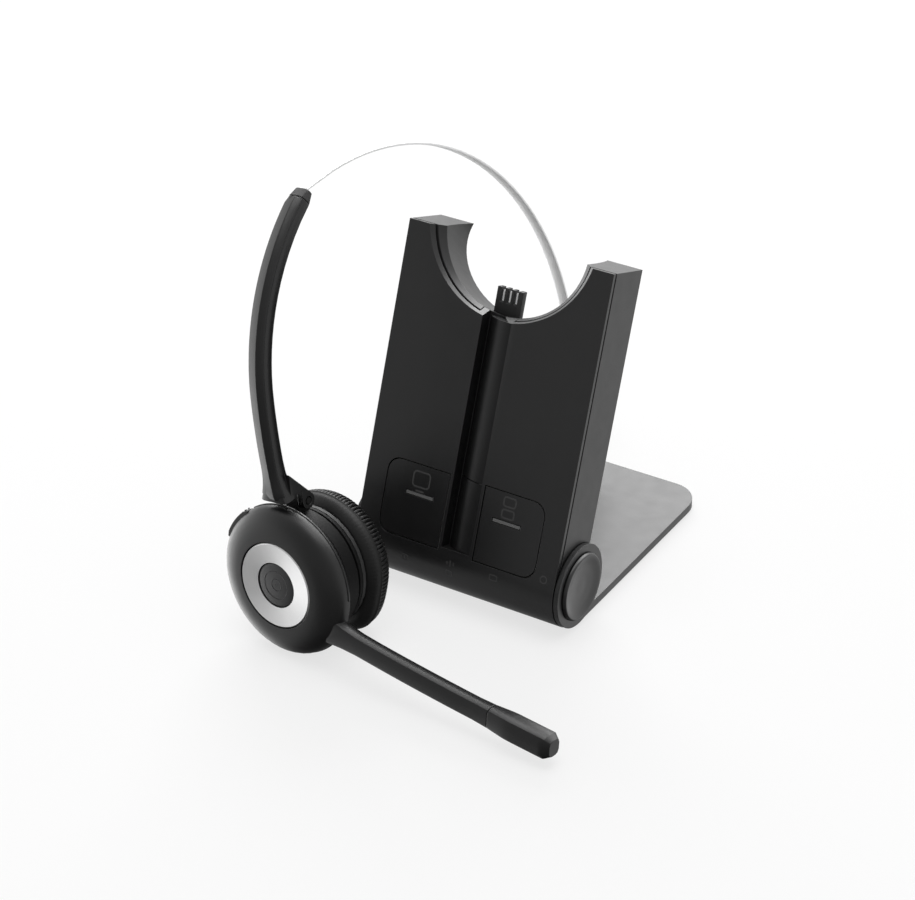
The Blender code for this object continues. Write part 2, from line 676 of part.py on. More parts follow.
def make_cup(parent):
    """The cup's pieces; Z is its axis, pointing out of the ear, from the face of the ring."""
    make_outer_cap(parent)
    satin = material("ring_metal", (0.62, 0.63, 0.64), 0.35, 1.0)
    inner = BUTTON_R + RUNNING
    ring = [(RING_R - 0.4 * MM, 0), (RING_R, -0.4 * MM), (RING_R, -RING_THICK), (inner, -RING_THICK),
            (inner, -0.5 * MM)]
    add("trim_ring", turned(ring, 52), parent, satin)
    plastic = material("cup_plastic", PLASTIC, 0.4)
    dark = material("button_plastic", DARK, 0.35)
    board_front = -(NECK_FRONT - 1.7 * MM)
    switch_top = board_front + 3.0 * MM
    stem = switch_top + BUTTON_TRAVEL + GAP
    button = [(0, -0.8 * MM), (BUTTON_R - 1.2 * MM, -0.45 * MM), (BUTTON_R, -0.9 * MM),
              (BUTTON_R, -2.6 * MM), (2 * MM, -2.6 * MM), (2 * MM, stem), (0, stem)]
    add("answer_button", turned(button, 36, False), parent, dark)
    make_volume_key(parent, dark)
    front = -(CAP_DEPTH + GAP)
    housing = [(HOUSING_BORE, front), (HOUSING_R, front), (HOUSING_R, front - 1.2 * MM),
               (NECK_R, -NECK_FRONT), (NECK_R, -NECK_BACK), (NECK_R + 2.4 * MM, -NECK_BACK - 0.8 * MM),
               (NECK_R + 2.4 * MM, -HOUSING_BACK), (HOUSING_BORE, -HOUSING_BACK)]
    add("cup_housing", turned(housing, 44), parent, plastic)
    board_r = HOUSING_BORE - GAP
    board = [(0, board_front), (board_r, board_front), (board_r, board_front - HEADSET_BOARD_THICK),
             (0, board_front - HEADSET_BOARD_THICK)]
    green = material("board_laminate", GREEN, 0.5)
    add("headset_board", turned(board, 40, False), parent, green)
    reach = 2.6 * MM
    add("answer_switch", block((-reach, -reach, board_front + GAP), (reach, reach, switch_top), 0.3 * MM),
        parent, dark)
    battery_top = board_front - HEADSET_BOARD_THICK - GAP
    size = BATTERY_SIZE
    low = (-size.x / 2, -size.y / 2, battery_top - size.z)
    high = (size.x / 2, size.y / 2, battery_top)
    add("battery", block(low, high, 0.8 * MM), parent, material("battery_foil", STEEL, 0.4, 0.6))
    magnet_top = battery_top - size.z - GAP
    steel = material("plated_steel", STEEL, 0.3, 1.0)
    magnet_low = magnet_top - MAGNET_DEPTH
    magnet = [(0, magnet_top), (MAGNET_R, magnet_top), (MAGNET_R, magnet_low), (0, magnet_low)]
    add("speaker_magnet", turned(magnet, 32, False), parent, steel)
    rim_low = -HOUSING_BACK + GAP
    frame_top = magnet_low - GAP
    speaker = [(0, frame_top), (MAGNET_R + 2 * MM, frame_top), (board_r, frame_top - 1.2 * MM),
               (board_r, rim_low), (MAGNET_R, rim_low + 0.6 * MM), (0, rim_low + 0.2 * MM)]
    add("speaker_frame", turned(speaker, 40, False), parent, material("speaker_plastic", DARK, 0.5))
    plate_front = -HOUSING_BACK - GAP
    plate_r = NECK_R + 2.4 * MM
    plate = [(6 * MM, plate_front), (plate_r, plate_front), (plate_r, plate_front - PLATE_THICK),
             (6 * MM, plate_front - PLATE_THICK)]
    add("cushion_plate", turned(plate, 32), parent, plastic)
    make_cushion(parent)


def make_outer_cap(parent):
    seat = RING_R + GAP
    floor = -(RING_THICK + GAP)
    bore = BUTTON_R + RUNNING
    steps = 8
    dome = []
    for i in range(steps + 1):
        part = i / steps
        radius = seat + (CAP_R - seat) * math.sin(part * math.pi / 2)
        dome.append((radius, -(CAP_DEPTH - 2.2 * MM) * (1 - math.cos(part * math.pi / 2))))
    inner = CAP_R - CAP_WALL
    under = floor - CAP_WALL
    profile = [(bore, floor), (seat, floor)] + dome
    profile += [(CAP_R, -CAP_DEPTH + 0.6 * MM), (CAP_R - 0.6 * MM, -CAP_DEPTH), (inner, -CAP_DEPTH),
                (inner, -CAP_DEPTH + CAP_WALL), (RING_R, under - 0.6 * MM), (bore, under)]
    finish = material("cap_shell_plastic", PLASTIC, 0.36)
    cap = add("outer_cap", turned(profile, CAP_STEPS), parent, finish)
    stop = BOOM_REACH - TIP_LENGTH
    join(cap, boom_loft(15.5 * MM, stop))
    hollow = [(0, MM), (seat, MM), (seat, floor), (inner - 3 * MM, under),
              (inner, -CAP_DEPTH + CAP_WALL), (inner, -CAP_DEPTH - 6 * MM), (0, -CAP_DEPTH - 6 * MM)]
    cut(cap, turned(hollow, CAP_STEPS, False))
    join(cap, turned([(bore, floor), (seat + MM, floor), (seat + MM, under), (bore, under)], CAP_STEPS))
    cut(cap, volume_loft(RUNNING))
    tip = add("mic_housing", boom_loft(stop + GAP, BOOM_REACH), parent, finish)
    x = BOOM_REACH - 7 * MM
    y, z, high, wide = boom_at(x)
    back = z - wide / 2
    cut(tip, rod((x, y, back - MM), (x, y, back + 3 * MM), MIC_R + GAP, sides=24))
    add("mic_capsule", rod((x, y, back + GAP), (x, y, back + 3 * MM - GAP), MIC_R, sides=24), parent,
        material("mic_metal", STEEL, 0.4, 0.8))


def boom_at(x):
    """Centre, height and depth of the boom at a distance along the cup's X."""
    part = max(0.0, min(1.0, (x - CAP_R * 0.6) / (BOOM_REACH - CAP_R * 0.6)))
    y = BOOM_ROOT_Y + (BOOM_TIP_Y - BOOM_ROOT_Y) * part ** 0.8
    z = -(BOOM_ROOT_DEPTH + (BOOM_TIP_DEPTH - BOOM_ROOT_DEPTH) * part ** 1.6)
    root = max(0.0, 1 - (x - 15 * MM) / (22 * MM))
    swell = min(1.0, max(0.0, (x - BOOM_REACH + TIP_LENGTH * 1.1) / (10 * MM)))
    high = BOOM_HIGH + (BOOM_ROOT_HIGH - BOOM_HIGH) * root ** 2 + (TIP_HIGH - BOOM_HIGH) * swell
    wide = BOOM_WIDE + (TIP_WIDE - BOOM_WIDE) * swell
    return y, z, high, wide


def boom_loft(start, end):
    stations = 12
    sections = []
    for i in range(stations + 1):
        x = start + (end - start) * i / stations
        y, z, high, wide = boom_at(x)
        shrink = TIP_SHRINK if i == stations and end == BOOM_REACH else 1.0
        ring = rounded(high / 2 * shrink, wide / 2 * shrink, BOOM_EDGE)
        sections.append([Vector((x, y + a, z + b)) for a, b in ring])
    return loft(sections)


def volume_loft(grow):
    """The rocker's block, swept round the rim of the cap."""
    inner = CAP_R - VOLUME_DEEP - (grow + VOLUME_TRAVEL if grow else 0.0)
    outer = CAP_R + VOLUME_PROUD + grow
    low = -CAP_DEPTH + MM - grow
    high = low + VOLUME_HIGH + 2 * grow
    spread = grow / CAP_R
    steps = 8
    sections = []
    for i in range(steps + 1):
        angle = VOLUME_FROM - spread + (VOLUME_TO - VOLUME_FROM + 2 * spread) * i / steps
        out = outer - (0.5 * MM if i in (0, steps) and grow == 0 else 0.0)
        sections.append([Vector((r * math.cos(angle), r * math.sin(angle), z))
                         for r, z in ((inner, low), (out, low), (out, high), (inner, high))])
    return loft(sections)


def make_volume_key(parent, finish):
    add("volume_key", volume_loft(0.0), parent, finish)


def make_cushion(parent):
    """A foam disc in a gathered cover: crowned, drawn in at its plate, pleated round its edge."""
    front, back = -CUSHION_FRONT, -CUSHION_BACK
    middle = (front + back) / 2
    half = (front - back) / 2
    around = 2 * PLEATS
    root_r = NECK_R + 1.6 * MM
    levels = [(root_r, front, 0.2), (CUSHION_R - 0.9 * MM, middle + 0.62 * half, 1.0),
              (CUSHION_R, middle + 0.1 * half, 0.8), (CUSHION_R - 1.2 * MM, middle - 0.6 * half, 0.3),
              (CUSHION_R - 4.4 * MM, back + 0.06 * half, 0.0), (CUSHION_R - 9 * MM, back + 0.02 * half, 0.0),
              (CUSHION_R - 15 * MM, back + CUSHION_DISH, 0.0)]
    sections = []
    for radius, z, gather in levels:
        ring = []
        for i in range(around):
            angle = 2 * math.pi * i / around
            r = radius - (PLEAT_DEPTH * gather if i % 2 else 0.0)
            ring.append(Vector((r * math.cos(angle), r * math.sin(angle), z)))
        sections.append(ring)
    add("ear_cushion", loft(sections), parent, material("cushion_leatherette", DARK, 0.55))


def arm_point(t):
    """The arm's middle line: how far behind the ring's face it is at a height above the cup."""
    if t < ARM_WAIST:
        return ARM_BACKSET + ARM_FOOT_BACK * ((ARM_WAIST - t) / (ARM_WAIST - ARM_FOOT)) ** 2
    return ARM_BACKSET + ARM_BEND - math.sqrt(ARM_BEND ** 2 - (t - ARM_WAIST) ** 2)


def arm_frame_at(t):
    """Middle, direction and normal of the arm, as vectors in its plane."""
    step = 0.2 * MM
    here = Vector((0, t, -arm_point(t)))
    ahead = Vector((0, t + step, -arm_point(t + step)))
    along = (ahead - here).normalized()
    normal = along.cross(Vector((1, 0, 0))).normalized()
    return here, along, normal


def section_at(centre, normal, wide, thick, radius):
    across = Vector((1, 0, 0))
    return [centre + across * a + normal * b for a, b in rounded(wide / 2, thick / 2, radius)]


def arm_loft(low, high, wide, thick, offset=0.0, flare=False, stations=22, radius=1.8 * MM):
    sections = []
    for i in range(stations + 1):
        t = low + (high - low) * i / stations
        centre, along, normal = arm_frame_at(t)
        part = max(0.0, 1 - (t - low) / ARM_FLARE) ** 2 if flare else 0.0
        here_wide = wide + (ARM_FOOT_WIDE - wide) * part
        here_thick = thick + (ARM_FOOT_THICK - thick) * part
        sections.append(section_at(centre + normal * offset, normal, here_wide, here_thick, radius))
    return loft(sections)


def arm_ear(wide):
    """An ear that slopes back from the arm's foot to the tilt pin."""
    middle = (TILT_UP, -TILT_BACK)
    outline = arc(middle, LUG_R, 0.5 * math.pi, 1.8 * math.pi, 14)
    inside = -arm_point(ARM_FOOT)
    low = ARM_FOOT + MM
    outline += [(ARM_FOOT + EAR_RISE, inside), (low, inside), (low, LUG_R - TILT_BACK)]
    return side_prism(outline, wide / 2)


def make_arm(parent):
    finish = material("arm_plastic", PLASTIC, 0.4)
    arm = add("headband_arm", arm_loft(ARM_FOOT, ARM_END, ARM_WIDE, ARM_THICK, flare=True), parent, finish)
    ear_in = LUG_WIDE / 2 + RUNNING
    for side in (-1, 1):
        near, far = sorted((side * ear_in, side * (ear_in + EAR_THICK)))
        join(arm, moved(arm_ear(far - near), Matrix.Translation(((near + far) / 2, 0, 0))))
    cut(arm, rod((-ARM_FOOT_WIDE, TILT_UP, -TILT_BACK), (ARM_FOOT_WIDE, TILT_UP, -TILT_BACK),
                 TILT_PIN_R + RUNNING, sides=24))
    centre, along, normal = strip_entry()
    half_wide, half_thick = STRIP_WIDE / 2 + RUNNING, STRIP_THICK / 2 + RUNNING
    slot_low = centre - along * (STRIP_SHANK + STOP_LENGTH + MM)
    slot_high = centre + along * 5 * MM
    cut(arm, loft([section_at(p, normal, 2 * half_wide, 2 * half_thick, 0.1 * MM)
                   for p in (slot_low, slot_high)]))
    outward = 1 if arm_frame_at(ARM_WAIST)[2].z > 0 else -1
    recess = outward * -(ARM_THICK - COVER_THICK) / 2
    cut(arm, arm_loft(COVER_LOW - GAP, COVER_HIGH + GAP, COVER_WIDE + 2 * GAP, COVER_THICK + 2 * GAP,
                      recess, stations=14, radius=COVER_EDGE))
    cover = arm_loft(COVER_LOW, COVER_HIGH, COVER_WIDE, COVER_THICK, recess, stations=14, radius=COVER_EDGE)
    add("arm_cover", cover, parent, finish)
    end, tip_along, tip_normal = arm_frame_at(ARM_END)
    guide_start = end + tip_along * GAP
    guide_end = guide_start + tip_along * GUIDE_LENGTH
    guide_root = section_at(guide_start, tip_normal, ARM_WIDE, ARM_THICK, 1.8 * MM)
    guide_top = section_at(guide_end, tip_normal, ARM_WIDE - 0.8 * MM, ARM_THICK - 2.4 * MM, 1.2 * MM)
    guide = add("strip_guide", loft([guide_root, guide_top]), parent, material("guide_plastic", DARK, 0.4))
    cut(guide, loft([section_at(p, normal, 2 * half_wide, 2 * half_thick, 0.1 * MM)
                     for p in (centre - along * MM, centre + along * (GUIDE_LENGTH + 2 * MM))]))
    pin_end = ear_in + EAR_THICK
    add("tilt_pin", rod((-pin_end, TILT_UP, -TILT_BACK), (pin_end, TILT_UP, -TILT_BACK), TILT_PIN_R, sides=20),
        parent, material("plated_steel", STEEL, 0.3, 1.0))


def strip_entry():
    """Where the band enters the arm: its shank lies along the chord of the arm's last stretch."""
    end = Vector((0, ARM_END, -arm_point(ARM_END)))
    low = Vector((0, ARM_END - SHANK_RISE, -arm_point(ARM_END - SHANK_RISE)))
    along = (end - low).normalized()
    return end, along, along.cross(Vector((1, 0, 0))).normalized()


def strip_path():
    """Middle line of the band: a straight shank, a short bend, then the arc over the head."""
    centre, along, normal = strip_entry()
    points = [centre - along * STRIP_SHANK, centre + along * (GUIDE_LENGTH + MM)]
    arc_y = STRIP_TOP - STRIP_BEND
    arc_s = STRIP_SPAN - math.sqrt(STRIP_BEND ** 2 - (arc_y - 45 * MM) ** 2)
    exit_point = points[-1]
    start = math.atan2(exit_point.y - arc_y, -exit_point.z - arc_s) - 7 * DEG
    end = math.asin((STRIP_LOW - arc_y) / STRIP_BEND)
    steps = 32
    for i in range(steps + 1):
        angle = start + (end - start) * i / steps
        up = arc_y + STRIP_BEND * math.sin(angle)
        behind = arc_s + STRIP_BEND * math.cos(angle)
        points.append(Vector((0, up, -behind)))
    return points


def make_strip(parent):
    path = strip_path()
    sections = []
    for i, point in enumerate(path):
        before = path[max(i - 1, 0)]
        after = path[min(i + 1, len(path) - 1)]
        along = (after - before).normalized()
        if i == 1:
            along = (point - before).normalized()
        normal = along.cross(Vector((1, 0, 0))).normalized()
        sections.append(section_at(point, normal, STRIP_WIDE, STRIP_THICK, 0.3 * MM))
    spring = material("band_steel", PALE, 0.25, 0.6)
    add("headband_strip", loft(sections), parent, spring)
    first, along = path[0], (path[1] - path[0]).normalized()
    normal = along.cross(Vector((1, 0, 0))).normalized()
    low = first - along * (GAP + STOP_LENGTH)
    stop = loft([section_at(p, normal, STRIP_WIDE, STRIP_THICK, 0.2 * MM)
                 for p in (low, low + along * STOP_LENGTH)])
    add("strip_stop", stop, parent, material("stop_plastic", DARK, 0.5))
    make_temple_pad(parent, path[-1])


def make_temple_pad(parent, end):
    """The bar on the band's end and its soft pad, against the far side of the head."""
    inward = Vector((0, 0, 1))
    bar_mid = end + inward * (STRIP_THICK / 2 + GAP + PAD_BAR_THICK / 2)
    rings = 10
    plastic = material("bar_plastic", DARK, 0.45)
    soft = material("pad_foam", DARK, 0.7)

    def bow(centre, high, thick, radius):
        sections = []
        for i in range(rings + 1):
            part = 2 * i / rings - 1
            taper = math.sqrt(1 - (0.93 * part) ** 2) * 0.55 + 0.45
            lift = 3 * MM * part ** 2
            middle = centre + Vector((PAD_HALF * part, 0, lift))
            ring = rounded(high * taper / 2, thick / 2, radius)
            sections.append([middle + Vector((0, a, b)) for a, b in ring])
        return loft(sections)

    add("temple_bar", bow(bar_mid, PAD_HIGH - 3 * MM, PAD_BAR_THICK, 0.8 * MM), parent, plastic)
    pad_mid = bar_mid + inward * (PAD_BAR_THICK / 2 + GAP + PAD_THICK / 2)
    add("temple_pad", bow(pad_mid, PAD_HIGH, PAD_THICK, 2.4 * MM), parent, soft)


def lug(wide, radius, root):
    """A round-ended ear on the tilt pin, running up or down to its root height."""
    facing = math.pi if root > TILT_UP else 0.0
    outline = arc((TILT_UP, -TILT_BACK), radius, facing - math.pi / 2, facing + math.pi / 2, 12)
    outline += [(root, outline[-1][1]), (root, outline[0][1])]
    return side_prism(outline, wide / 2)


def make_neck_ring(parent):
    inner = NECK_R + RUNNING
    front = -(NECK_FRONT + 0.8 * MM)
    back = -(NECK_BACK - 0.8 * MM)
    ring = [(inner, front), (NECK_RING_R, front), (NECK_RING_R, back), (inner, back)]
    finish = material("ring_plastic", DARK, 0.45)
    neck = add("neck_ring", turned(ring, 44), parent, finish)
    join(neck, lug(LUG_WIDE, LUG_R - 0.2 * MM, NECK_RING_R - 1.2 * MM))
    cut(neck, rod((-LUG_WIDE, TILT_UP, -TILT_BACK), (LUG_WIDE, TILT_UP, -TILT_BACK),
                  TILT_PIN_R + RUNNING, sides=24))


def main():
    hinge = (0, HINGE_Y, HINGE_Z)
    panel = frame("panel_frame", None, hinge, (-PANEL_LEAN, 0, 0))
    make_stand_shell(panel)
    make_fascia(panel)
    make_call_key(-1, panel)
    make_call_key(1, panel)
    make_stand_inside(panel)
    make_foot(frame("foot_hinge", None, hinge))
    place = (CUP_X, HINGE_Y - CUP_AHEAD, CUP_Z)
    cup = frame("cup_frame", None, place, (math.pi / 2 - CUP_TIP_UP, 0, -CUP_TURN))
    band = frame("headband_frame", cup, rotation=(0, 0, BAND_TURN))
    make_cup(cup)
    make_neck_ring(band)
    make_arm(band)
    make_strip(band)
    bpy.context.view_layer.update()


main()
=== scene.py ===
"""Looks of the one-ear office headset and its folding charging stand."""

import math
import random

import bpy
from mathutils import Matrix, Vector


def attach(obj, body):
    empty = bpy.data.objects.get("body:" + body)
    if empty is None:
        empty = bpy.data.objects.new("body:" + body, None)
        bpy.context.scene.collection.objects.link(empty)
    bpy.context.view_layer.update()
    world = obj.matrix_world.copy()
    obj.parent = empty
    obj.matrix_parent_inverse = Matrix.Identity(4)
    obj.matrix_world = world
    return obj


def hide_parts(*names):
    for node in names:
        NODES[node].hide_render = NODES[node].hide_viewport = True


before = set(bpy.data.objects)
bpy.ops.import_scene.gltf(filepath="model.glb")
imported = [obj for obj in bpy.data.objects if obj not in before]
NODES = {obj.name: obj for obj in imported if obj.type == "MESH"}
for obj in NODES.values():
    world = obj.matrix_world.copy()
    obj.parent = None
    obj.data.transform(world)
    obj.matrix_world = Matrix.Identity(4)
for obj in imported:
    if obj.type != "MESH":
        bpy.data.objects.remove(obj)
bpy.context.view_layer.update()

MM = 0.001
DEG = math.pi / 180

# Photograph's frame and the camera that matches it
PHOTO_WIDTH = 915
FOCAL_PIXELS = 2873.96
SENSOR = 36.0
CAMERA_PLACE = Vector((459.8, -761.3, 597.5)) * MM
CAMERA_AZIMUTH = 33.303 * DEG
CAMERA_ELEVATION = 32.487 * DEG
CAMERA_ROLL = -1.744 * DEG

# Panel of the stand: origin on the hinge axis, Y out of its back, Z up its face
HINGE = Vector((0.0, -51.5, 16.0)) * MM
PANEL_LEAN = 21.44 * DEG
PANEL_FRONT = -15.7 * MM
KEY_FACE = -15.55 * MM
PANEL = Matrix.Translation(HINGE) @ Matrix.Rotation(-PANEL_LEAN, 4, "X")

# Cup of the headset: origin on the ring's face, Z out of it
CUP_PLACE = Vector((-38.7, -119.5, 28.5)) * MM
CUP_TURN = -6.78 * DEG
CUP_TIP = 82.87 * DEG
CUP = Matrix.Translation(CUP_PLACE) @ Matrix.Rotation(CUP_TURN, 4, "Z") @ Matrix.Rotation(CUP_TIP, 4, "X")

# Shading of curved faces
MERGE_REACH = 0.002 * MM
SHARP_ANGLE = 28 * DEG
SMOOTH_ANGLE = 35 * DEG
BEVEL_SAMPLES = 6

# Patterns in the finishes: sizes of their lumps, and how far a normal leans at an edge painted paler,
# partly for wear and partly as a painted edge highlight
PATCH_SIZE = 18 * MM
SMUDGE_SIZE = 5 * MM
WEAR_AND_HIGHLIGHT_PATCH = 2.4 * MM
EDGE_LEAN = (0.01, 0.16)
WEAR_AND_HIGHLIGHT_PALER = 5.0
PEBBLE_SIZE = 0.55 * MM
MASK_GREEN = (0.012, 0.075, 0.032, 1.0)
RUN_GREEN = (0.03, 0.16, 0.06, 1.0)
COPPER_SCALE = 260.0
MAT_RIB_PITCH = 1.6 * MM


class Field:
    """A value that changes over a surface: sums on it add Math nodes."""

    def __init__(self, finish, socket):
        self.finish = finish
        self.socket = socket

    def _math(self, operation, first, second):
        return self.finish.node("ShaderNodeMath", {"operation": operation}, [first, second])

    def __add__(self, other):
        return self._math("ADD", self, other)

    __radd__ = __add__

    def __sub__(self, other):
        return self._math("SUBTRACT", self, other)

    def __rsub__(self, other):
        return self._math("SUBTRACT", other, self)

    def __mul__(self, other):
        return self._math("MULTIPLY", self, other)

    __rmul__ = __mul__


class Graph:
    """A node tree written as calls and sums."""

    def __init__(self, tree):
        self.tree = tree

    def node(self, kind, settings=None, inputs=(), output=0):
        made = self.tree.nodes.new(kind)
        for key, value in (settings or {}).items():
            setattr(made, key, value)
        pairs = inputs.items() if isinstance(inputs, dict) else enumerate(inputs)
        for key, value in pairs:
            self.plug(made.inputs[key], value)
        return None if output is None else Field(self, made.outputs[output])

    def plug(self, socket, value):
        if isinstance(value, Field):
            self.tree.links.new(value.socket, socket)
        else:
            socket.default_value = value

    def ramp(self, value, low, high, start=0.0):
        """Smooth step from start to 1 as a value goes from low to high."""
        inputs = {"Value": value, "From Min": low, "From Max": high, "To Min": start, "To Max": 1.0}
        return self.node("ShaderNodeMapRange", {"interpolation_type": "SMOOTHSTEP"}, inputs)

    def lobe(self, direction, middle, start, full):
        """Soft patch of sky round a direction, from 0 at its rim to 1 inside."""
        inputs = [direction, Vector(middle).normalized()]
        near = self.node("ShaderNodeVectorMath", {"operation": "DOT_PRODUCT"}, inputs, "Value")
        return self.ramp(near, start, full)

    def rays(self, *words):
        """1 for rays of any of these kinds."""
        total = self.node("ShaderNodeLightPath", output=words[0])
        for word in words[1:]:
            other = self.node("ShaderNodeLightPath", output=word)
            total = self.node("ShaderNodeMath", {"operation": "MAXIMUM"}, [total, other])
        return total


class Finish(Graph):
    """A material on the standard shader."""

    def __init__(self, name, **constants):
        self.material = bpy.data.materials.new(name)
        self.material.use_nodes = True
        super().__init__(self.material.node_tree)
        self.shader = self.tree.nodes["Principled BSDF"]
        for words, value in constants.items():
            self.shader.inputs[words.replace("_", " ")].default_value = value

    def paint(self, words, value):
        self.plug(self.shader.inputs[words], value)

    def place(self):
        return self.node("ShaderNodeTexCoord", output="Object")

    def centred(self, place):
        """Object coordinates seen from a frame of the part."""
        settled = place.inverted()
        location, rotation = settled.to_translation(), settled.to_euler()
        inputs = {"Vector": self.place(), "Location": location, "Rotation": rotation}
        return self.node("ShaderNodeMapping", {"vector_type": "POINT"}, inputs)

    def part_of(self, vector, axis):
        return self.node("ShaderNodeSeparateXYZ", None, [vector], output=axis)

    def noise(self, size, detail=2.0):
        """Noise with lumps about size metres wide, from 0 to 1."""
        inputs = {"Vector": self.place(), "Scale": 1 / size, "Detail": detail}
        return self.node("ShaderNodeTexNoise", None, inputs)

    def blend(self, factor, first, second):
        """Mix of two colours."""
        inputs = {0: factor, 6: first, 7: second}
        return self.node("ShaderNodeMix", {"data_type": "RGBA"}, inputs, output=2)

    def edges(self, radius):
        """1 close to an outer edge, 0 on open faces."""
        flat_normal = self.node("ShaderNodeNewGeometry", output="Normal")
        normals = [self.rounded_normal(radius), flat_normal]
        likeness = self.node("ShaderNodeVectorMath", {"operation": "DOT_PRODUCT"}, normals, "Value")
        return self.ramp(1 - likeness, *EDGE_LEAN)

    def rounded_normal(self, radius):
        """Normal that rounds the sharp edges over."""
        return self.node("ShaderNodeBevel", {"samples": BEVEL_SAMPLES}, {"Radius": radius})

    def bump(self, height, strength, distance, normal=None):
        inputs = {"Height": height, "Strength": strength, "Distance": distance}
        if normal:
            inputs["Normal"] = normal
        self.paint("Normal", self.node("ShaderNodeBump", None, inputs))


def grey(level, tint=1.0):
    """Linear grey, with blue raised by tint."""
    return (level, level, level * tint, 1.0)


def moulded(name, colour, roughness, grain, depth, wear_and_highlight_strength=0.25, edge=0.35 * MM, specular=0.5):
    """Moulded plastic: spark grain, handled patches, and edges painted paler: partly wear, partly a painted
    edge highlight.
    """
    made = Finish(name, Specular_IOR_Level=specular)
    patches = made.noise(PATCH_SIZE, 3.0)
    smudges = made.noise(SMUDGE_SIZE)
    specks = made.noise(grain)
    # Mask of edges painted paler: partly rubbed wear, partly a painted edge highlight
    wear_and_edge_highlight = made.edges(edge) * made.ramp(made.noise(WEAR_AND_HIGHLIGHT_PATCH), 0.3, 0.7) * wear_and_highlight_strength
    body = made.blend(patches, grey(colour * 0.86, 1.03), grey(colour * 1.16, 1.03))
    made.paint("Base Color", made.blend(wear_and_edge_highlight, body, grey(colour * WEAR_AND_HIGHLIGHT_PALER)))
    made.paint("Roughness", roughness - 0.05 + 0.1 * smudges - 0.08 * wear_and_edge_highlight)
    made.bump(specks * (depth * 0.5), 1.0, 1.0, made.rounded_normal(edge))
    return made.material


def turned_metal(name, colour, roughness, place, pitch, depth, dish):
    """Dished metal with fine turning marks round the axis of its frame."""
    made = Finish(name, Metallic=1.0)
    where = made.centred(place)
    flat = made.node("ShaderNodeVectorMath", {"operation": "MULTIPLY"}, [where, (1.0, 1.0, 0.0)])
    radius = made.node("ShaderNodeVectorMath", {"operation": "LENGTH"}, [flat], "Value")
    inputs = {"W": radius, "Scale": 1 / pitch, "Detail": 3.0}
    marks = made.node("ShaderNodeTexNoise", {"noise_dimensions": "1D"}, inputs)
    cloud = made.noise(6 * MM)
    made.paint("Base Color", made.blend(cloud, grey(colour * 0.93), grey(min(colour * 1.05, 1.0))))
    made.paint("Roughness", roughness + 0.16 * marks + 0.06 * cloud)
    made.bump(marks * depth + radius * math.tan(dish), 1.0, 1.0)
    return made.material


def drawn_metal(name, colour, roughness, grain, metallic=1.0):
    """Plain or lacquered steel with faint lumps and scuffs."""
    made = Finish(name, Metallic=metallic)
    cloud = made.noise(4 * MM, 3.0)
    scuffs = made.noise(grain, 4.0)
    made.paint("Base Color", made.blend(cloud, grey(colour * 0.9), grey(min(colour * 1.06, 1.0))))
    made.paint("Roughness", roughness + 0.14 * scuffs)
    made.bump(scuffs, 0.3, 0.02 * MM)
    return made.material


def leatherette(name, colour):
    """Soft black leatherette with a fine pebble grain."""
    made = Finish(name, Specular_IOR_Level=0.34)
    inputs = {"Vector": made.place(), "Scale": 1 / PEBBLE_SIZE}
    pebbles = made.node("ShaderNodeTexVoronoi", {"feature": "SMOOTH_F1"}, inputs)
    creases = made.noise(3 * MM, 3.0)
    made.paint("Base Color", made.blend(creases, grey(colour * 0.8), grey(colour * 1.3)))
    made.paint("Roughness", 0.42 + 0.14 * pebbles + 0.08 * creases)
    made.bump(pebbles + 0.6 * creases, 0.5, 0.05 * MM)
    return made.material


def circuit_board(name):
    """Green solder mask with copper runs showing through it."""
    made = Finish(name, Specular_IOR_Level=0.5)
    inputs = {"Vector": made.place(), "Scale": COPPER_SCALE, "Mortar Size": 0.02}
    runs = made.node("ShaderNodeTexBrick", None, inputs, "Fac")
    cloud = made.noise(3 * MM)
    made.paint("Base Color", made.blend(runs, MASK_GREEN, RUN_GREEN))
    made.paint("Roughness", 0.32 + 0.12 * cloud)
    made.bump(runs, 0.4, 0.03 * MM)
    return made.material


def ribbed_rubber(name, colour):
    """Matt rubber with small grip ribs across it."""
    made = Finish(name, Specular_IOR_Level=0.3)
    along = made.part_of(made.place(), "Y")
    wave = made.node("ShaderNodeMath", {"operation": "SINE"}, [along * (2 * math.pi / MAT_RIB_PITCH)])
    dust = made.noise(2 * MM, 3.0)
    made.paint("Base Color", made.blend(dust, grey(colour * 0.8), grey(colour * 1.8)))
    made.paint("Roughness", 0.72 + 0.14 * dust)
    made.bump(wave + 0.4 * dust, 0.6, 0.12 * MM)
    return made.material


def lens_plastic(name, colour, roughness):
    """Pale light-guide plastic."""
    made = Finish(name, Specular_IOR_Level=0.5)
    cloud = made.noise(1.5 * MM)
    made.paint("Base Color", made.blend(cloud, grey(colour * 0.92), grey(colour)))
    made.paint("Roughness", roughness + 0.1 * cloud)
    return made.material


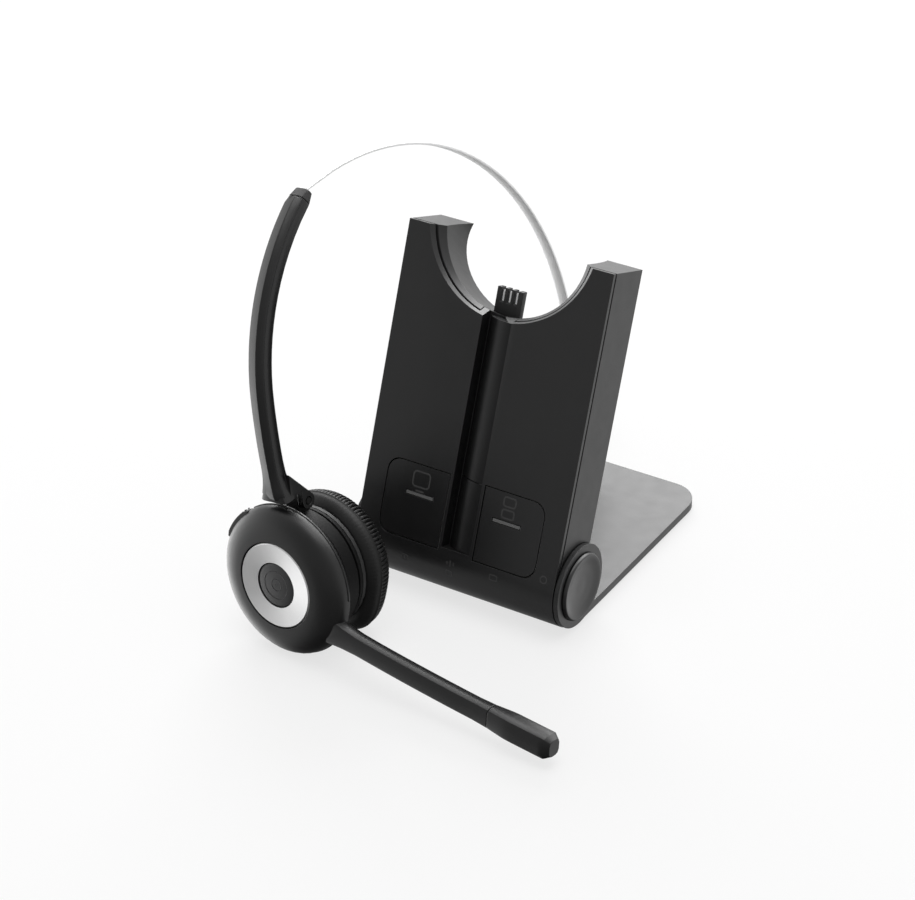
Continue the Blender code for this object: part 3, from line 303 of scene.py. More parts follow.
FINISHES = {
    "casing_plastic": moulded("sparked_casing", 0.011, 0.40, 0.32 * MM, 0.035 * MM, 0.12),
    "fascia_plastic": moulded("satin_fascia", 0.0085, 0.36, 0.22 * MM, 0.012 * MM, 0.06, 0.2 * MM),
    "key_plastic": moulded("smooth_key", 0.0085, 0.32, 0.2 * MM, 0.008 * MM, 0.1, 0.2 * MM),
    "inner_plastic": moulded("dull_inner_plastic", 0.006, 0.55, 0.3 * MM, 0.02 * MM, 0.1),
    "headset_plastic": moulded("soft_touch_black", 0.0065, 0.36, 0.2 * MM, 0.012 * MM, 0.15, specular=0.42),
    "button_plastic": moulded("button_black", 0.020, 0.44, 0.2 * MM, 0.012 * MM, 0.3),
    "ring_metal": turned_metal("spun_ring", 0.68, 0.26, CUP, 0.35 * MM, 0.003 * MM, 4.5 * DEG),
    "steel": drawn_metal("plated_steel", 0.62, 0.28, 0.6 * MM),
    "band_steel": drawn_metal("pale_sprung_band", 0.9, 0.32, 1.2 * MM, 0.25),
    "board": circuit_board("green_board"),
    "mat_rubber": ribbed_rubber("ribbed_mat", 0.012),
    "bar_lens": lens_plastic("pale_bar", 0.13, 0.4),
    "cushion_leatherette": leatherette("pleated_leatherette", 0.0045),
}

# Pieces whose finish differs from the rest of their material
NODE_FINISHES = {
    "mic_capsule": drawn_metal("dark_mic_mesh", 0.05, 0.4, 0.4 * MM),
    # Tilt pin painted near black: painted shade for the dark gap beside the arm's foot
    "tilt_pin": drawn_metal("shade_darkened_pin", 0.035, 0.35, 0.6 * MM),
    # Neck ring and cup housing darker and duller than the headset plastic: painted shade for the groove
    # between cap and cushion
    "neck_ring": moulded("shade_darkened_collar", 0.003, 0.6, 0.3 * MM, 0.02 * MM, 0.1, specular=0.15),
    "cup_housing": moulded("shade_darkened_housing", 0.003, 0.6, 0.3 * MM, 0.02 * MM, 0.1, specular=0.15),
}
for number in (1, 2, 3):
    NODE_FINISHES[f"contact_blade_{number}"] = lens_plastic(f"bright_contact_{number}", 0.9, 0.3)

# Added pieces whose finish differs from the rest of their material
FAINT_PRINT = lens_plastic("faint_print", 0.038, 0.5)
CAP_SATIN = moulded("cap_satin", 0.010, 0.3, 0.3 * MM, 0.012 * MM, 0.1)
SHADED_FASCIA = moulded("shaded_fascia", 0.009, 0.42, 0.22 * MM, 0.012 * MM, 0.0, 0.2 * MM, 0.2)


def smoothing_group():
    """Modifier nodes that merge a node's loose triangles and smooth all but its sharp edges."""
    group = bpy.data.node_groups.new("smooth_curves", "GeometryNodeTree")
    group.interface.new_socket("Geometry", in_out="INPUT", socket_type="NodeSocketGeometry")
    group.interface.new_socket("Geometry", in_out="OUTPUT", socket_type="NodeSocketGeometry")
    graph = Graph(group)
    shape = graph.node("NodeGroupInput")
    merged = graph.node("GeometryNodeMergeByDistance", None, {"Geometry": shape, "Distance": MERGE_REACH})
    inputs = {"Geometry": merged, "Shade Smooth": True}
    smooth = graph.node("GeometryNodeSetShadeSmooth", {"domain": "FACE"}, inputs)
    angle = graph.node("GeometryNodeInputMeshEdgeAngle")
    sharp = graph.node("FunctionNodeCompare", {"operation": "GREATER_THAN"}, [angle, SHARP_ANGLE])
    inputs = {"Geometry": smooth, "Selection": sharp, "Shade Smooth": False}
    creased = graph.node("GeometryNodeSetShadeSmooth", {"domain": "EDGE"}, inputs)
    graph.node("NodeGroupOutput", None, [creased], None)
    return group


def dress_nodes():
    group = smoothing_group()
    for name, node in NODES.items():
        slot = node.data.materials[0].name
        node.data.materials[0] = NODE_FINISHES.get(name, FINISHES[slot])
        node.modifiers.new("smooth_curves", "NODES").node_group = group


def select_none():
    if bpy.context.object and bpy.context.object.mode != "OBJECT":
        bpy.ops.object.mode_set(mode="OBJECT")
    bpy.ops.object.select_all(action="DESELECT")


def settle(piece, name, place, body, slot, finish=None):
    """Puts a piece's place into its mesh, and gives it its body and its finish, by default the finish of
    its slot.
    """
    select_none()
    piece.select_set(True)
    bpy.context.view_layer.objects.active = piece
    bpy.ops.object.transform_apply(location=True, rotation=True, scale=True)
    piece.data.transform(place)
    piece.name = name
    piece.data.materials.clear()
    piece.data.materials.append(finish or FINISHES[slot])
    bpy.ops.object.shade_smooth_by_angle(angle=SMOOTH_ANGLE)
    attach(piece, body)
    return piece


def skin(name, rings):
    """A closed mesh through rings of points, with a pole at each end."""
    count = len(rings[0])
    points = [point for ring in rings for point in ring]
    faces = []
    for row in range(len(rings) - 1):
        for i in range(count):
            j = (i + 1) % count
            low, high = row * count, (row + 1) * count
            faces.append((low + i, low + j, high + j, high + i))
    for ring, base in ((rings[0], 0), (rings[-1], (len(rings) - 1) * count)):
        pole = len(points)
        points.append(sum(ring, Vector()) / count)
        for i in range(count):
            faces.append((base + i, pole, base + (i + 1) % count))
    mesh = bpy.data.meshes.new(name)
    mesh.from_pydata(points, [], faces)
    made = bpy.data.objects.new(name, mesh)
    bpy.context.collection.objects.link(made)
    select_none()
    made.select_set(True)
    bpy.context.view_layer.objects.active = made
    bpy.ops.object.mode_set(mode="EDIT")
    bpy.ops.mesh.select_all(action="SELECT")
    bpy.ops.mesh.normals_make_consistent(inside=False)
    bpy.ops.object.mode_set(mode="OBJECT")
    return made


def through(controls, steps):
    """Smooth line through control points, steps points between each pair."""
    line = []
    for i in range(len(controls) - 1):
        before = controls[max(i - 1, 0)]
        start, end = controls[i], controls[i + 1]
        after = controls[min(i + 2, len(controls) - 1)]
        for k in range(steps):
            t = k / steps
            point = []
            for a, b, c, d in zip(before, start, end, after):
                square, cube = 2 * a - 5 * b + 4 * c - d, 3 * b - a - 3 * c + d
                point.append(0.5 * (2 * b + (c - a) * t + square * t * t + cube * t ** 3))
            line.append(tuple(point))
    line.append(tuple(controls[-1]))
    return line


# Ear cushion: radius, height on the cup's axis and share of the gathers, in millimetres
CUSHION_LINE = [
    (7.0, -23.1, 0.0), (15.0, -23.1, 0.0), (20.6, -23.2, 0.0), (22.4, -23.9, 0.05), (24.2, -25.6, 0.1),
    (24.8, -27.2, 0.0), (25.1, -27.7, 0.0), (24.7, -28.2, 0.2), (24.7, -30.2, 1.0), (23.8, -32.6, 1.0),
    (21.9, -34.7, 0.85), (19.2, -35.6, 0.4), (16.2, -35.2, 0.1), (13.2, -33.9, 0.0), (10.8, -32.9, 0.0),
    (7.0, -32.6, 0.0), (3.0, -32.5, 0.0),
]
CUSHION_STEPS = 4
GATHERS = 104
GATHER_STEPS = 8
GATHER_DEPTH = 0.8
GATHER_DEEP = (0.75, 1.15)        # spread of the depths
GATHER_LEAN = 0.12
GATHER_ROUND = 0.7
GATHER_DROP = 0.5        # share of a gather's depth that goes along the axis
SWELL = 2.4
SWELL_RADIUS = 24.9
SWELL_MIDDLE = -48 * DEG
SWELL_REACH = 42 * DEG


def make_ear_cushion():
    """Gathered leatherette ring cushion round a shallow dish."""
    draw = random.Random(5)
    deep = [draw.uniform(*GATHER_DEEP) for _ in range(GATHERS)]
    lean = [draw.uniform(-GATHER_LEAN, GATHER_LEAN) for _ in range(GATHERS)]
    rings = []
    for radius, z, share in through(CUSHION_LINE, CUSHION_STEPS):
        ring = []
        for i in range(GATHERS * GATHER_STEPS):
            fold, step = divmod(i, GATHER_STEPS)
            part = step / GATHER_STEPS
            ridge = math.sin(math.pi * part) ** GATHER_ROUND
            depth = deep[fold] + (deep[fold - 1] - deep[fold]) * (1 - part) / 2
            sink = GATHER_DEPTH * share * (1 - ridge) * depth
            angle = 2 * math.pi * (fold + part + lean[fold] * share * ridge) / GATHERS
            off = min(abs((angle - SWELL_MIDDLE + math.pi) % (2 * math.pi) - math.pi) / SWELL_REACH, 1.0)
            far = radius * (1 + SWELL / SWELL_RADIUS * math.cos(off * math.pi / 2) ** 2) - sink
            place = Vector((far * math.cos(angle), far * math.sin(angle), z + GATHER_DROP * sink))
            ring.append(place * MM)
        rings.append(ring)
    cushion = skin("gathered_ear_cushion", rings)
    settle(cushion, "gathered_ear_cushion", CUP, "cup", "cushion_leatherette")
    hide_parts("ear_cushion")


# Temple pad, on the headband's frame, in millimetres
BAND_TURN = 10 * DEG
BAND = CUP @ Matrix.Rotation(BAND_TURN, 4, "Z")
PAD_MIDDLE = Vector((0.0, 30.0, -166.4))
PAD_HALF = 20.2
PAD_HIGH = 7.5
PAD_CROWN = 3.7
PAD_FLAT = 3.1
PAD_BOW = 3.0
PAD_SEAM = 0.35
PAD_SEAM_REACH = 0.16
PAD_ALONG, PAD_AROUND = 56, 48
PAD_OVAL, PAD_OVAL_SHARE, PAD_BLUNT = 0.9, 0.55, 8        # outline, seen from the head
PAD_FULL, PAD_CLOSE = 0.55, 3        # crown left at the ends, and how soon they close
PAD_ROUND_HIGH, PAD_ROUND_THICK = 0.75, 0.7


def make_temple_pad():
    """Bowed foam pad, crowned towards the head, with a seam round its edge."""
    rings = []
    for i in range(1, PAD_ALONG):
        part = math.sin(math.pi * (i / PAD_ALONG - 0.5))
        oval = 1 - PAD_OVAL_SHARE + PAD_OVAL_SHARE * math.sqrt(1 - (PAD_OVAL * part) ** 2)
        taper = oval * math.sqrt(1 - part ** PAD_BLUNT)
        ring = []
        for k in range(PAD_AROUND):
            angle = 2 * math.pi * k / PAD_AROUND
            up, out = math.cos(angle), math.sin(angle)
            high = PAD_HIGH * taper * math.copysign(abs(up) ** PAD_ROUND_HIGH, up)
            crown = (PAD_CROWN if out > 0 else PAD_FLAT) * (PAD_FULL + (1 - PAD_FULL) * taper)
            thick = crown * min(1.0, taper * PAD_CLOSE) * math.copysign(abs(out) ** PAD_ROUND_THICK, out)
            seam = 1 - PAD_SEAM / PAD_HIGH * math.exp(-((out / PAD_SEAM_REACH) ** 2))
            place = Vector((PAD_HALF * part, high * seam, thick + PAD_BOW * part ** 2))
            ring.append((PAD_MIDDLE + place) * MM)
        rings.append(ring)
    pad = skin("soft_temple_pad", rings)
    settle(pad, "soft_temple_pad", BAND, "band_strip", "cushion_leatherette")
    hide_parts("temple_pad")


# Ridged front of the headband's arm, on the headband's frame, in millimetres
ARM_FOOT, ARM_WAIST = 30.3, 67.0
ARM_BACKSET, ARM_FOOT_BACK, ARM_BEND = 4.4, 2.8, 83.3
ARM_FLARE = 12.0
FLARE_WIDE, FLARE_THICK = 0.82, 0.23        # growth at the foot
RIDGE_STATIONS = 64
RIDGE_PROBE = 0.2        # step that gives its direction
RIDGE_CLOSE = 0.9        # shrink of its two ends
RIDGE_LOW, RIDGE_HIGH = 31.4, 128.8
RIDGE_LINE = [
    (-3.15, 1.75), (-3.37, 2.15), (-3.2, 2.58), (1.0, 3.88), (1.2, 3.91), (1.4, 3.82), (3.1, 2.62),
    (3.37, 2.15), (3.15, 1.75), (0.0, 1.85)]


def arm_depth(t):
    """How far the arm's middle line lies behind the ring's face, at a height above the cup."""
    if t < ARM_WAIST:
        return ARM_BACKSET + ARM_FOOT_BACK * ((ARM_WAIST - t) / (ARM_WAIST - ARM_FOOT)) ** 2
    return ARM_BACKSET + ARM_BEND - math.sqrt(ARM_BEND ** 2 - (t - ARM_WAIST) ** 2)


def make_arm_ridge():
    """Ridged front of the arm, with a broad left facet and a narrower right one."""
    rings = []
    for i in range(RIDGE_STATIONS + 1):
        t = RIDGE_LOW + (RIDGE_HIGH - RIDGE_LOW) * i / RIDGE_STATIONS
        flare = max(0.0, 1 - (t - ARM_FOOT) / ARM_FLARE) ** 2
        close = RIDGE_CLOSE if i in (0, RIDGE_STATIONS) else 1.0
        wide, thick = (1 + FLARE_WIDE * flare) * close, (1 + FLARE_THICK * flare) * close
        middle = Vector((0, t, -arm_depth(t)))
        ahead = t + RIDGE_PROBE
        along = (Vector((0, ahead, -arm_depth(ahead))) - middle).normalized()
        out = Vector((1, 0, 0)).cross(along)
        rings.append([(middle + Vector((x * wide, 0, 0)) + out * (z * thick)) * MM for x, z in RIDGE_LINE])
    ridge = skin("arm_ridge", rings)
    settle(ridge, "arm_ridge", BAND, "headband", "headset_plastic")


def start(add, **sizes):
    """A primitive to model from, in edit mode with all of it selected."""
    select_none()
    add(**sizes)
    bpy.ops.object.mode_set(mode="EDIT")
    bpy.ops.mesh.select_all(action="SELECT")
    return bpy.context.object


def raised(height):
    """Gives the flat piece being edited its thickness, and leaves edit mode."""
    bpy.ops.mesh.select_all(action="SELECT")
    bpy.ops.mesh.extrude_region_move(TRANSFORM_OT_translate={"value": (0, 0, height)})
    bpy.ops.mesh.select_all(action="SELECT")
    bpy.ops.mesh.normals_make_consistent(inside=False)
    bpy.ops.object.mode_set(mode="OBJECT")


def outlined_box(wide, high, corner, line):
    """Round-cornered outline, lying flat."""
    piece = start(bpy.ops.mesh.primitive_plane_add, size=1.0)
    bpy.ops.transform.resize(value=(wide, high, 1.0))
    bpy.ops.mesh.bevel(offset=corner, segments=5, affect="VERTICES")
    bpy.ops.mesh.select_all(action="SELECT")
    bpy.ops.mesh.inset(thickness=line)
    bpy.ops.mesh.delete(type="FACE")
    raised(MARK_RISE)
    return piece


def outlined_ring(radius, line):
    piece = start(bpy.ops.mesh.primitive_circle_add, vertices=40, radius=radius, fill_type="NGON")
    bpy.ops.mesh.inset(thickness=line)
    bpy.ops.mesh.delete(type="FACE")
    raised(MARK_RISE)
    return piece


def short_bar(wide, high):
    piece = start(bpy.ops.mesh.primitive_plane_add, size=1.0)
    bpy.ops.transform.resize(value=(wide, high, 1.0))
    bpy.ops.mesh.bevel(offset=BAR_ROUNDING * min(wide, high), segments=3, affect="VERTICES")
    raised(MARK_RISE)
    return piece


def gather_up(pieces):
    """Joins pieces, each already in its place, into the first of them."""
    select_none()
    for piece in pieces:
        piece.select_set(True)
    bpy.context.view_layer.objects.active = pieces[0]
    bpy.ops.object.join()
    return pieces[0]


def copy_of(piece):
    """A copy with its own mesh."""
    copy = piece.copy()
    copy.data = piece.data.copy()
    bpy.context.collection.objects.link(copy)
    return copy


def shifted(piece, x, y):
    piece.data.transform(Matrix.Translation((x, y, 0)))
    return piece


# Printed marks: places across and up the panel or chin, and place and height of the wave's bars
MARK_RISE = 0.07 * MM
MARK_SINK = 0.02 * MM
BAR_ROUNDING = 0.35
FACE_OUT = Matrix.Rotation(90 * DEG, 4, "X")
LEFT_MARK, RIGHT_MARK, KEY_MARK_HIGH = -18.2 * MM, 18.0 * MM, 23.6 * MM
CHIN_PLACES = ((-20.0, -5.7), (-1.0, -2.4), (-1.4, -6.2), (16.8, -2.3))
CORNER_MARK = (36.3 * MM, 3.0 * MM)
WAVES = ((-1.3, 1.4), (0.0, 2.4), (1.3, 1.4))
WAVE_WIDTH = 0.6 * MM
# Outlines: width, height, corner and line, or radius and line; bars: width and height
SCREEN = (7.4 * MM, 6.2 * MM, 1.5 * MM, 0.6 * MM)
STEM, STEM_SHIFT = (3.4 * MM, 0.7 * MM), -4.3 * MM
EARPIECE, EARPIECE_SHIFT = (5.4 * MM, 3.9 * MM, 1.2 * MM, 0.6 * MM), 2.1 * MM
MOUTHPIECE, MOUTHPIECE_SHIFT = (5.4 * MM, 3.6 * MM, 1.1 * MM, 0.6 * MM), -2.3 * MM
DIAL, DIAL_HAND = (1.5 * MM, 0.35 * MM), (0.45 * MM, 1.4 * MM)
DRUM = (2.8 * MM, 2.6 * MM, 0.7 * MM, 0.45 * MM)
CASE = (3.4 * MM, 2.4 * MM, 0.6 * MM, 0.45 * MM)
LOOP = (1.5 * MM, 0.45 * MM)


def on_panel(x, z, face):
    return PANEL @ Matrix.Translation((x, face + MARK_SINK, z)) @ FACE_OUT


def on_barrel(x, z):
    """A place on the rounded chin under the panel."""
    turn = Matrix.Rotation(math.asin(z / PANEL_FRONT), 4, "X")
    outward = Matrix.Translation((0, PANEL_FRONT + MARK_SINK, 0))
    return PANEL @ Matrix.Translation((x, 0, 0)) @ turn @ outward @ FACE_OUT


def print_mark(mark, name, place, body="stand"):
    settle(mark, name, place, body, "bar_lens", FAINT_PRINT)


def make_key_marks():
    """Screen mark on the left key and handset mark on the right one."""
    screen = outlined_box(*SCREEN)
    stem = shifted(short_bar(*STEM), 0, STEM_SHIFT)
    place = on_panel(LEFT_MARK, KEY_MARK_HIGH, KEY_FACE)
    print_mark(gather_up([screen, stem]), "left_key_mark", place, "left_key")
    upper = shifted(outlined_box(*EARPIECE), 0, EARPIECE_SHIFT)
    lower = shifted(outlined_box(*MOUTHPIECE), 0, MOUTHPIECE_SHIFT)
    place = on_panel(RIGHT_MARK, KEY_MARK_HIGH, KEY_FACE)
    print_mark(gather_up([upper, lower]), "right_key_mark", place, "right_key")


def make_chin_marks():
    """Faint marks over the indicator lights along the chin."""
    dial = gather_up([outlined_ring(*DIAL), short_bar(*DIAL_HAND)])
    waves = gather_up([shifted(short_bar(WAVE_WIDTH, high * MM), x * MM, 0) for x, high in WAVES])
    marks = (dial, waves, outlined_box(*DRUM), outlined_box(*CASE))
    for number, (mark, (x, z)) in enumerate(zip(marks, CHIN_PLACES), 1):
        print_mark(mark, f"chin_mark_{number}", on_barrel(x * MM, z * MM))
    print_mark(outlined_ring(*LOOP), "chin_mark_5", on_panel(*CORNER_MARK, PANEL_FRONT))


# Grip domes on the volume rocker, round the rim of the cap
DOME_RADIUS = 0.36 * MM
DOME_CUT = -0.05 * MM
DOME_FLATTEN = 0.8
DOME_REACH = 27.9 * MM
DOME_ROWS = (-6.9 * MM, -5.7 * MM)
DOMES_IN_ROW = 9
DOME_FIRST, DOME_STEP, ROW_SHIFT = 133 * DEG, 3.3 * DEG, 1.6 * DEG


def make_volume_grip():
    """Rows of small domes on the volume rocker."""
    dome = start(bpy.ops.mesh.primitive_uv_sphere_add, segments=12, ring_count=8, radius=DOME_RADIUS)
    bpy.ops.mesh.bisect(plane_co=(0, 0, DOME_CUT), plane_no=(0, 0, 1), clear_inner=True, use_fill=True)
    bpy.ops.mesh.select_all(action="SELECT")
    bpy.ops.transform.resize(value=(1.0, 1.0, DOME_FLATTEN))
    bpy.ops.object.mode_set(mode="OBJECT")
    bumps = []
    for row, z in enumerate(DOME_ROWS):
        for step in range(DOMES_IN_ROW):
            angle = DOME_FIRST + DOME_STEP * step + ROW_SHIFT * row
            place = Matrix.Rotation(angle, 4, "Z") @ Matrix.Translation((DOME_REACH, 0, z))
            bump = copy_of(dome)
            bump.data.transform(place @ Matrix.Rotation(90 * DEG, 4, "Y"))
            bumps.append(bump)
    bpy.data.objects.remove(dome)
    settle(gather_up(bumps), "volume_grip_dots", CUP, "volume", "headset_plastic")


# Answer button: radius, line and height of each ring, and its pinhole
BUTTON_RINGS = ((2.4 * MM, 0.35 * MM, -0.70 * MM), (5.4 * MM, 0.3 * MM, -0.55 * MM))
PINHOLE_RADIUS = 0.45 * MM
PINHOLE_LIP = 0.12 * MM
PINHOLE_DEPTH = 0.1 * MM
PINHOLE_THICK = 0.02 * MM
PINHOLE_FACE = -0.76 * MM


def make_button_rings():
    """Two fine rings and a pinhole on the answer button."""
    parts = []
    for radius, line, z in BUTTON_RINGS:
        ring = outlined_ring(radius, line)
        ring.data.transform(Matrix.Translation((0, 0, z)))
        parts.append(ring)
    settle(gather_up(parts), "button_rings", CUP, "answer", "button_plastic")
    # Pinhole as a dark disc with a shallow dip: painted shade for the hole
    hole = start(bpy.ops.mesh.primitive_circle_add, vertices=24, radius=PINHOLE_RADIUS, fill_type="NGON")
    bpy.ops.mesh.inset(thickness=PINHOLE_LIP, depth=-PINHOLE_DEPTH)
    raised(PINHOLE_THICK)
    place = CUP @ Matrix.Translation((0, 0, PINHOLE_FACE))
    settle(hole, "button_pinhole", place, "answer", "inner_plastic")


# Band round the rim of the outer cap: its two stretches, in degrees, and its section
RIM_STRETCHES = ((4, 128), (166, 318))
RIM_RADIUS = 27.3 * MM
RIM_BACK = -7.4 * MM
RIM_STEPS = 72
RIM_THICK, RIM_HIGH, RIM_CORNER = 0.55 * MM, 0.8 * MM, 0.12 * MM


def make_cap_rim():
    """Thin raised band round the cap's rim, broken at the volume rocker and the boom."""
    for number, (first, last) in enumerate(RIM_STRETCHES, 1):
        band = start(bpy.ops.mesh.primitive_plane_add, size=1.0)
        bpy.ops.transform.resize(value=(RIM_THICK, RIM_HIGH, 1.0))
        bpy.ops.mesh.bevel(offset=RIM_CORNER, segments=2, affect="VERTICES")
        bpy.ops.mesh.select_all(action="SELECT")
        bpy.ops.transform.rotate(value=90 * DEG, orient_axis="X", center_override=(0, 0, 0))
        bpy.ops.transform.translate(value=(RIM_RADIUS, 0, RIM_BACK))
        bpy.ops.mesh.spin(steps=RIM_STEPS, angle=(last - first) * DEG, center=(0, 0, 0), axis=(0, 0, 1))
        bpy.ops.mesh.select_all(action="SELECT")
        bpy.ops.mesh.fill_holes(sides=0)
        bpy.ops.mesh.normals_make_consistent(inside=False)
        place = CUP @ Matrix.Rotation(last * DEG, 4, "Z")
        settle(band, f"cap_rim_band_{number}", place, "cup", "headset_plastic")


# Screws in the back of the stand, on the panel's frame
SCREW_PLACES = [(x * MM, z * MM) for x in (-33.6, 33.6) for z in (12.0, 70.0)]
SCREW_FACE = 5.4 * MM
SCREW_TURN = 23 * DEG
CROSS_LONG, CROSS_WIDE = 2.9 * MM, 0.65 * MM


def make_screw_drives():
    """Cross recess in each screw head, drawn as a thin dark cross on the head: painted shade for the
    recess.
    """
    cross = gather_up([short_bar(CROSS_LONG, CROSS_WIDE), short_bar(CROSS_WIDE, CROSS_LONG)])
    for number, (x, z) in enumerate(SCREW_PLACES, 1):
        turn = Matrix.Rotation(-90 * DEG, 4, "X") @ Matrix.Rotation(SCREW_TURN * number, 4, "Z")
        place = PANEL @ Matrix.Translation((x, SCREW_FACE - MARK_SINK, z)) @ turn
        settle(copy_of(cross), f"screw_drive_{number}", place, "stand", "inner_plastic")
    bpy.data.objects.remove(cross)


# Pivot caps on the hinge: each step in from the rim, and its rise or fall, in millimetres
CAP_RADIUS = 12.6 * MM
CAP_SIDES = 96
CAP_WALL = 0.2 * MM
CAP_SEAT = 43.3 * MM
CAP_STEPS = (
    (0.15, 0.4), (0.25, 0.4), (0.3, 0.2), (0.4, -0.03), (0.6, -0.13), (0.9, -0.24), (1.2, -0.32),
    (1.4, -0.24), (1.6, -0.13), (1.8, -0.05), (1.8, 0.0))


def make_pivot_caps():
    """Dished cap with a rounded rim at each end of the hinge."""
    cap = start(bpy.ops.mesh.primitive_circle_add, vertices=CAP_SIDES, radius=CAP_RADIUS, fill_type="NGON")
    bpy.ops.mesh.extrude_region_move(TRANSFORM_OT_translate={"value": (0, 0, CAP_WALL)})
    for inward, rise in CAP_STEPS:
        bpy.ops.mesh.inset(thickness=inward * MM, depth=rise * MM)
    bpy.ops.mesh.select_all(action="SELECT")
    bpy.ops.mesh.normals_make_consistent(inside=False)
    bpy.ops.object.mode_set(mode="OBJECT")
    for side, turn in (("left", -90 * DEG), ("right", 90 * DEG)):
        axis = Matrix.Translation(HINGE) @ Matrix.Rotation(turn, 4, "Y")
        place = axis @ Matrix.Translation((0, 0, CAP_SEAT))
        copy = settle(copy_of(cap), f"dished_pivot_cap_{side}", place, "foot", "casing_plastic", CAP_SATIN)
        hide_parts(f"pivot_cap_{side}")
    bpy.data.objects.remove(cap)


# Boom channel of the panel: rounded shoulder on its right side
SHOULDER_EDGE = 6.0 * MM
SHOULDER_RADIUS = 14.4 * MM
SHOULDER_SIDES = 192
SHOULDER_DEPTH = 5.8 * MM
SHOULDER_LOW = 2.6 * MM
SHOULDER_HIGH = 86.9 * MM
KEY_LINE = 28.8 * MM
SEAM_HALF = 0.14 * MM


def make_channel_shoulder():
    """Rounded right side of the boom channel, parted on the line of the key's top."""
    spans = ((SHOULDER_LOW, KEY_LINE - SEAM_HALF), (KEY_LINE + SEAM_HALF, SHOULDER_HIGH))
    for name, (low, high) in zip(("lower", "upper"), spans):
        size = {"vertices": SHOULDER_SIDES, "radius": SHOULDER_RADIUS, "depth": high - low}
        piece = start(bpy.ops.mesh.primitive_cylinder_add, **size)
        middle = Vector((SHOULDER_EDGE, PANEL_FRONT + SHOULDER_RADIUS, (low + high) / 2))
        bpy.ops.transform.translate(value=middle)
        deep = (0, PANEL_FRONT + SHOULDER_DEPTH, 0)
        bpy.ops.mesh.bisect(plane_co=deep, plane_no=(0, 1, 0), clear_outer=True, use_fill=True)
        bpy.ops.mesh.select_all(action="SELECT")
        edge = (SHOULDER_EDGE, 0, 0)
        bpy.ops.mesh.bisect(plane_co=edge, plane_no=(1, 0, 0), clear_outer=True, use_fill=True)
        settle(piece, f"channel_shoulder_{name}", PANEL, "stand", "fascia_plastic", SHADED_FASCIA)


def set_camera():
    data = bpy.data.cameras.new("photo_camera")
    data.sensor_fit = "HORIZONTAL"
    data.sensor_width = SENSOR
    data.lens = FOCAL_PIXELS * SENSOR / PHOTO_WIDTH
    camera = bpy.data.objects.new("photo_camera", data)
    bpy.context.collection.objects.link(camera)
    flat, drop = math.cos(CAMERA_ELEVATION), math.sin(CAMERA_ELEVATION)
    look = Vector((-math.sin(CAMERA_AZIMUTH) * flat, math.cos(CAMERA_AZIMUTH) * flat, -drop))
    turn = look.to_track_quat("-Z", "Y").to_matrix().to_4x4()
    camera.matrix_world = Matrix.Translation(CAMERA_PLACE) @ turn @ Matrix.Rotation(CAMERA_ROLL, 4, "Z")
    bpy.context.scene.camera = camera


def softbox(name, place, aim, width, length, power):
    data = bpy.data.lights.new(name, "AREA")
    data.shape = "RECTANGLE"
    data.size = width
    data.size_y = length
    data.energy = power
    lamp = bpy.data.objects.new(name, data)
    bpy.context.collection.objects.link(lamp)
    lamp.location = place
    lamp.rotation_euler = (Vector(aim) - Vector(place)).to_track_quat("-Z", "Y").to_euler()


# Room in reflections: each level, and the span of direction over which it rises to full
WORLD_FILL = 0.42
ROOM_DARK, ROOM_SPAN = 0.46, (-0.95, 0.1)
TABLE_DARK, TABLE_SPAN = 0.22, (-0.5, 0.3)
UNDER_DARK, UNDER_SPAN = 0.12, (-0.9, -0.55)
HORIZON = (0.08, -0.32)
# Pale cards: strength, direction, and how near to it the rim and the full card lie
CARDS = (
    (0.75, (-0.93, -0.25, -0.25), 0.62, 0.98),
    (1.8, (-0.88, 0.15, -0.46), 0.80, 0.97),
    (4.6, (0.12, 0.72, 0.68), 0.80, 0.96),
)
# Lamps: place, aim, width, length and power
LAMPS = {
    "back_softbox": ((-0.66, 1.0, 0.78), (0.0, 0.0, 0.03), 1.1, 0.8, 15.0),
    "top_softbox": ((0.1, -0.1, 1.4), (0.0, -0.05, 0.05), 1.0, 1.0, 8.0),
}
FLOOR_SHOWN = 0.72
FLOOR_SIZE = 6.0
FLOOR_GREY = 0.86


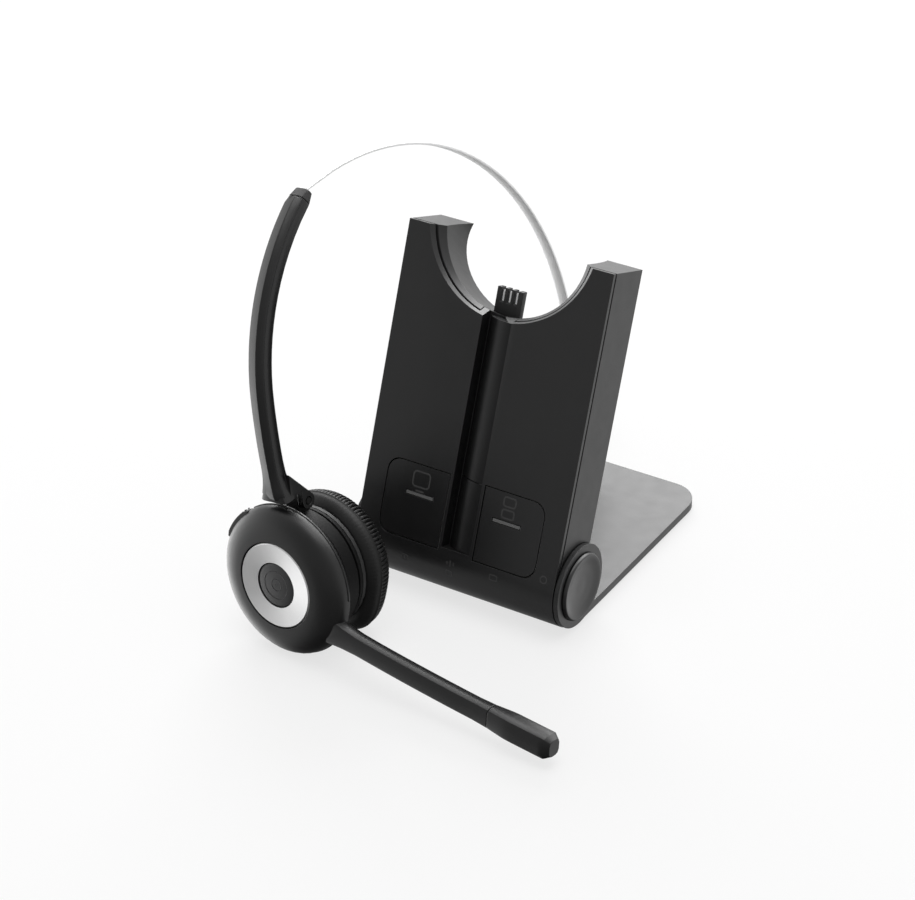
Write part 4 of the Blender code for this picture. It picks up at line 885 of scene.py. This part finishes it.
def set_world():
    """White behind the object; in reflections a dimmer room in front, and pale cards left and behind."""
    world = bpy.data.worlds.new("white_studio")
    bpy.context.scene.world = world
    world.use_nodes = True
    sky = Graph(world.node_tree)
    seen = sky.rays("Is Camera Ray")
    mirrored = sky.rays("Is Glossy Ray", "Is Transmission Ray")
    direction = sky.node("ShaderNodeTexCoord", output="Generated")
    depth = sky.node("ShaderNodeSeparateXYZ", None, [direction], output="Y")
    height = sky.node("ShaderNodeSeparateXYZ", None, [direction], output="Z")
    table = sky.ramp(depth, *TABLE_SPAN, TABLE_DARK) * sky.ramp(height, *UNDER_SPAN, UNDER_DARK)
    under = sky.ramp(height, *HORIZON)
    room = sky.ramp(depth, *ROOM_SPAN, ROOM_DARK) * (1 - under) + table * under
    for strength, middle, rim, full in CARDS:
        room = room + strength * sky.lobe(direction, middle, rim, full)
    unseen = room * mirrored + WORLD_FILL * (1 - mirrored)
    background = world.node_tree.nodes["Background"]
    background.inputs["Color"].default_value = (1.0, 1.0, 1.0, 1.0)
    sky.plug(background.inputs["Strength"], seen + unseen * (1 - seen))


def set_floor():
    bpy.ops.mesh.primitive_plane_add(size=FLOOR_SIZE)
    floor = bpy.context.object
    floor.name = "pale_floor"
    paper = Finish("pale_paper", Base_Color=grey(FLOOR_GREY), Roughness=0.9)
    glow = paper.node("ShaderNodeEmission")
    shown = paper.rays("Is Camera Ray") * FLOOR_SHOWN
    lit = Field(paper, paper.shader.outputs[0])
    mixed = paper.node("ShaderNodeMixShader", None, [shown, lit, glow])
    paper.plug(paper.tree.nodes["Material Output"].inputs["Surface"], mixed)
    floor.data.materials.append(paper.material)
    floor.visible_glossy = False


def set_studio():
    set_world()
    set_floor()
    for name, settings in LAMPS.items():
        softbox(name, *settings)
    bpy.context.scene.view_settings.view_transform = "Standard"


bpy.ops.object.select_all(action="DESELECT")
dress_nodes()
make_ear_cushion()
make_temple_pad()
make_arm_ridge()
make_key_marks()
make_chin_marks()
make_volume_grip()
make_button_rings()
make_cap_rim()
make_pivot_caps()
make_channel_shoulder()
make_screw_drives()
set_camera()
set_studio()
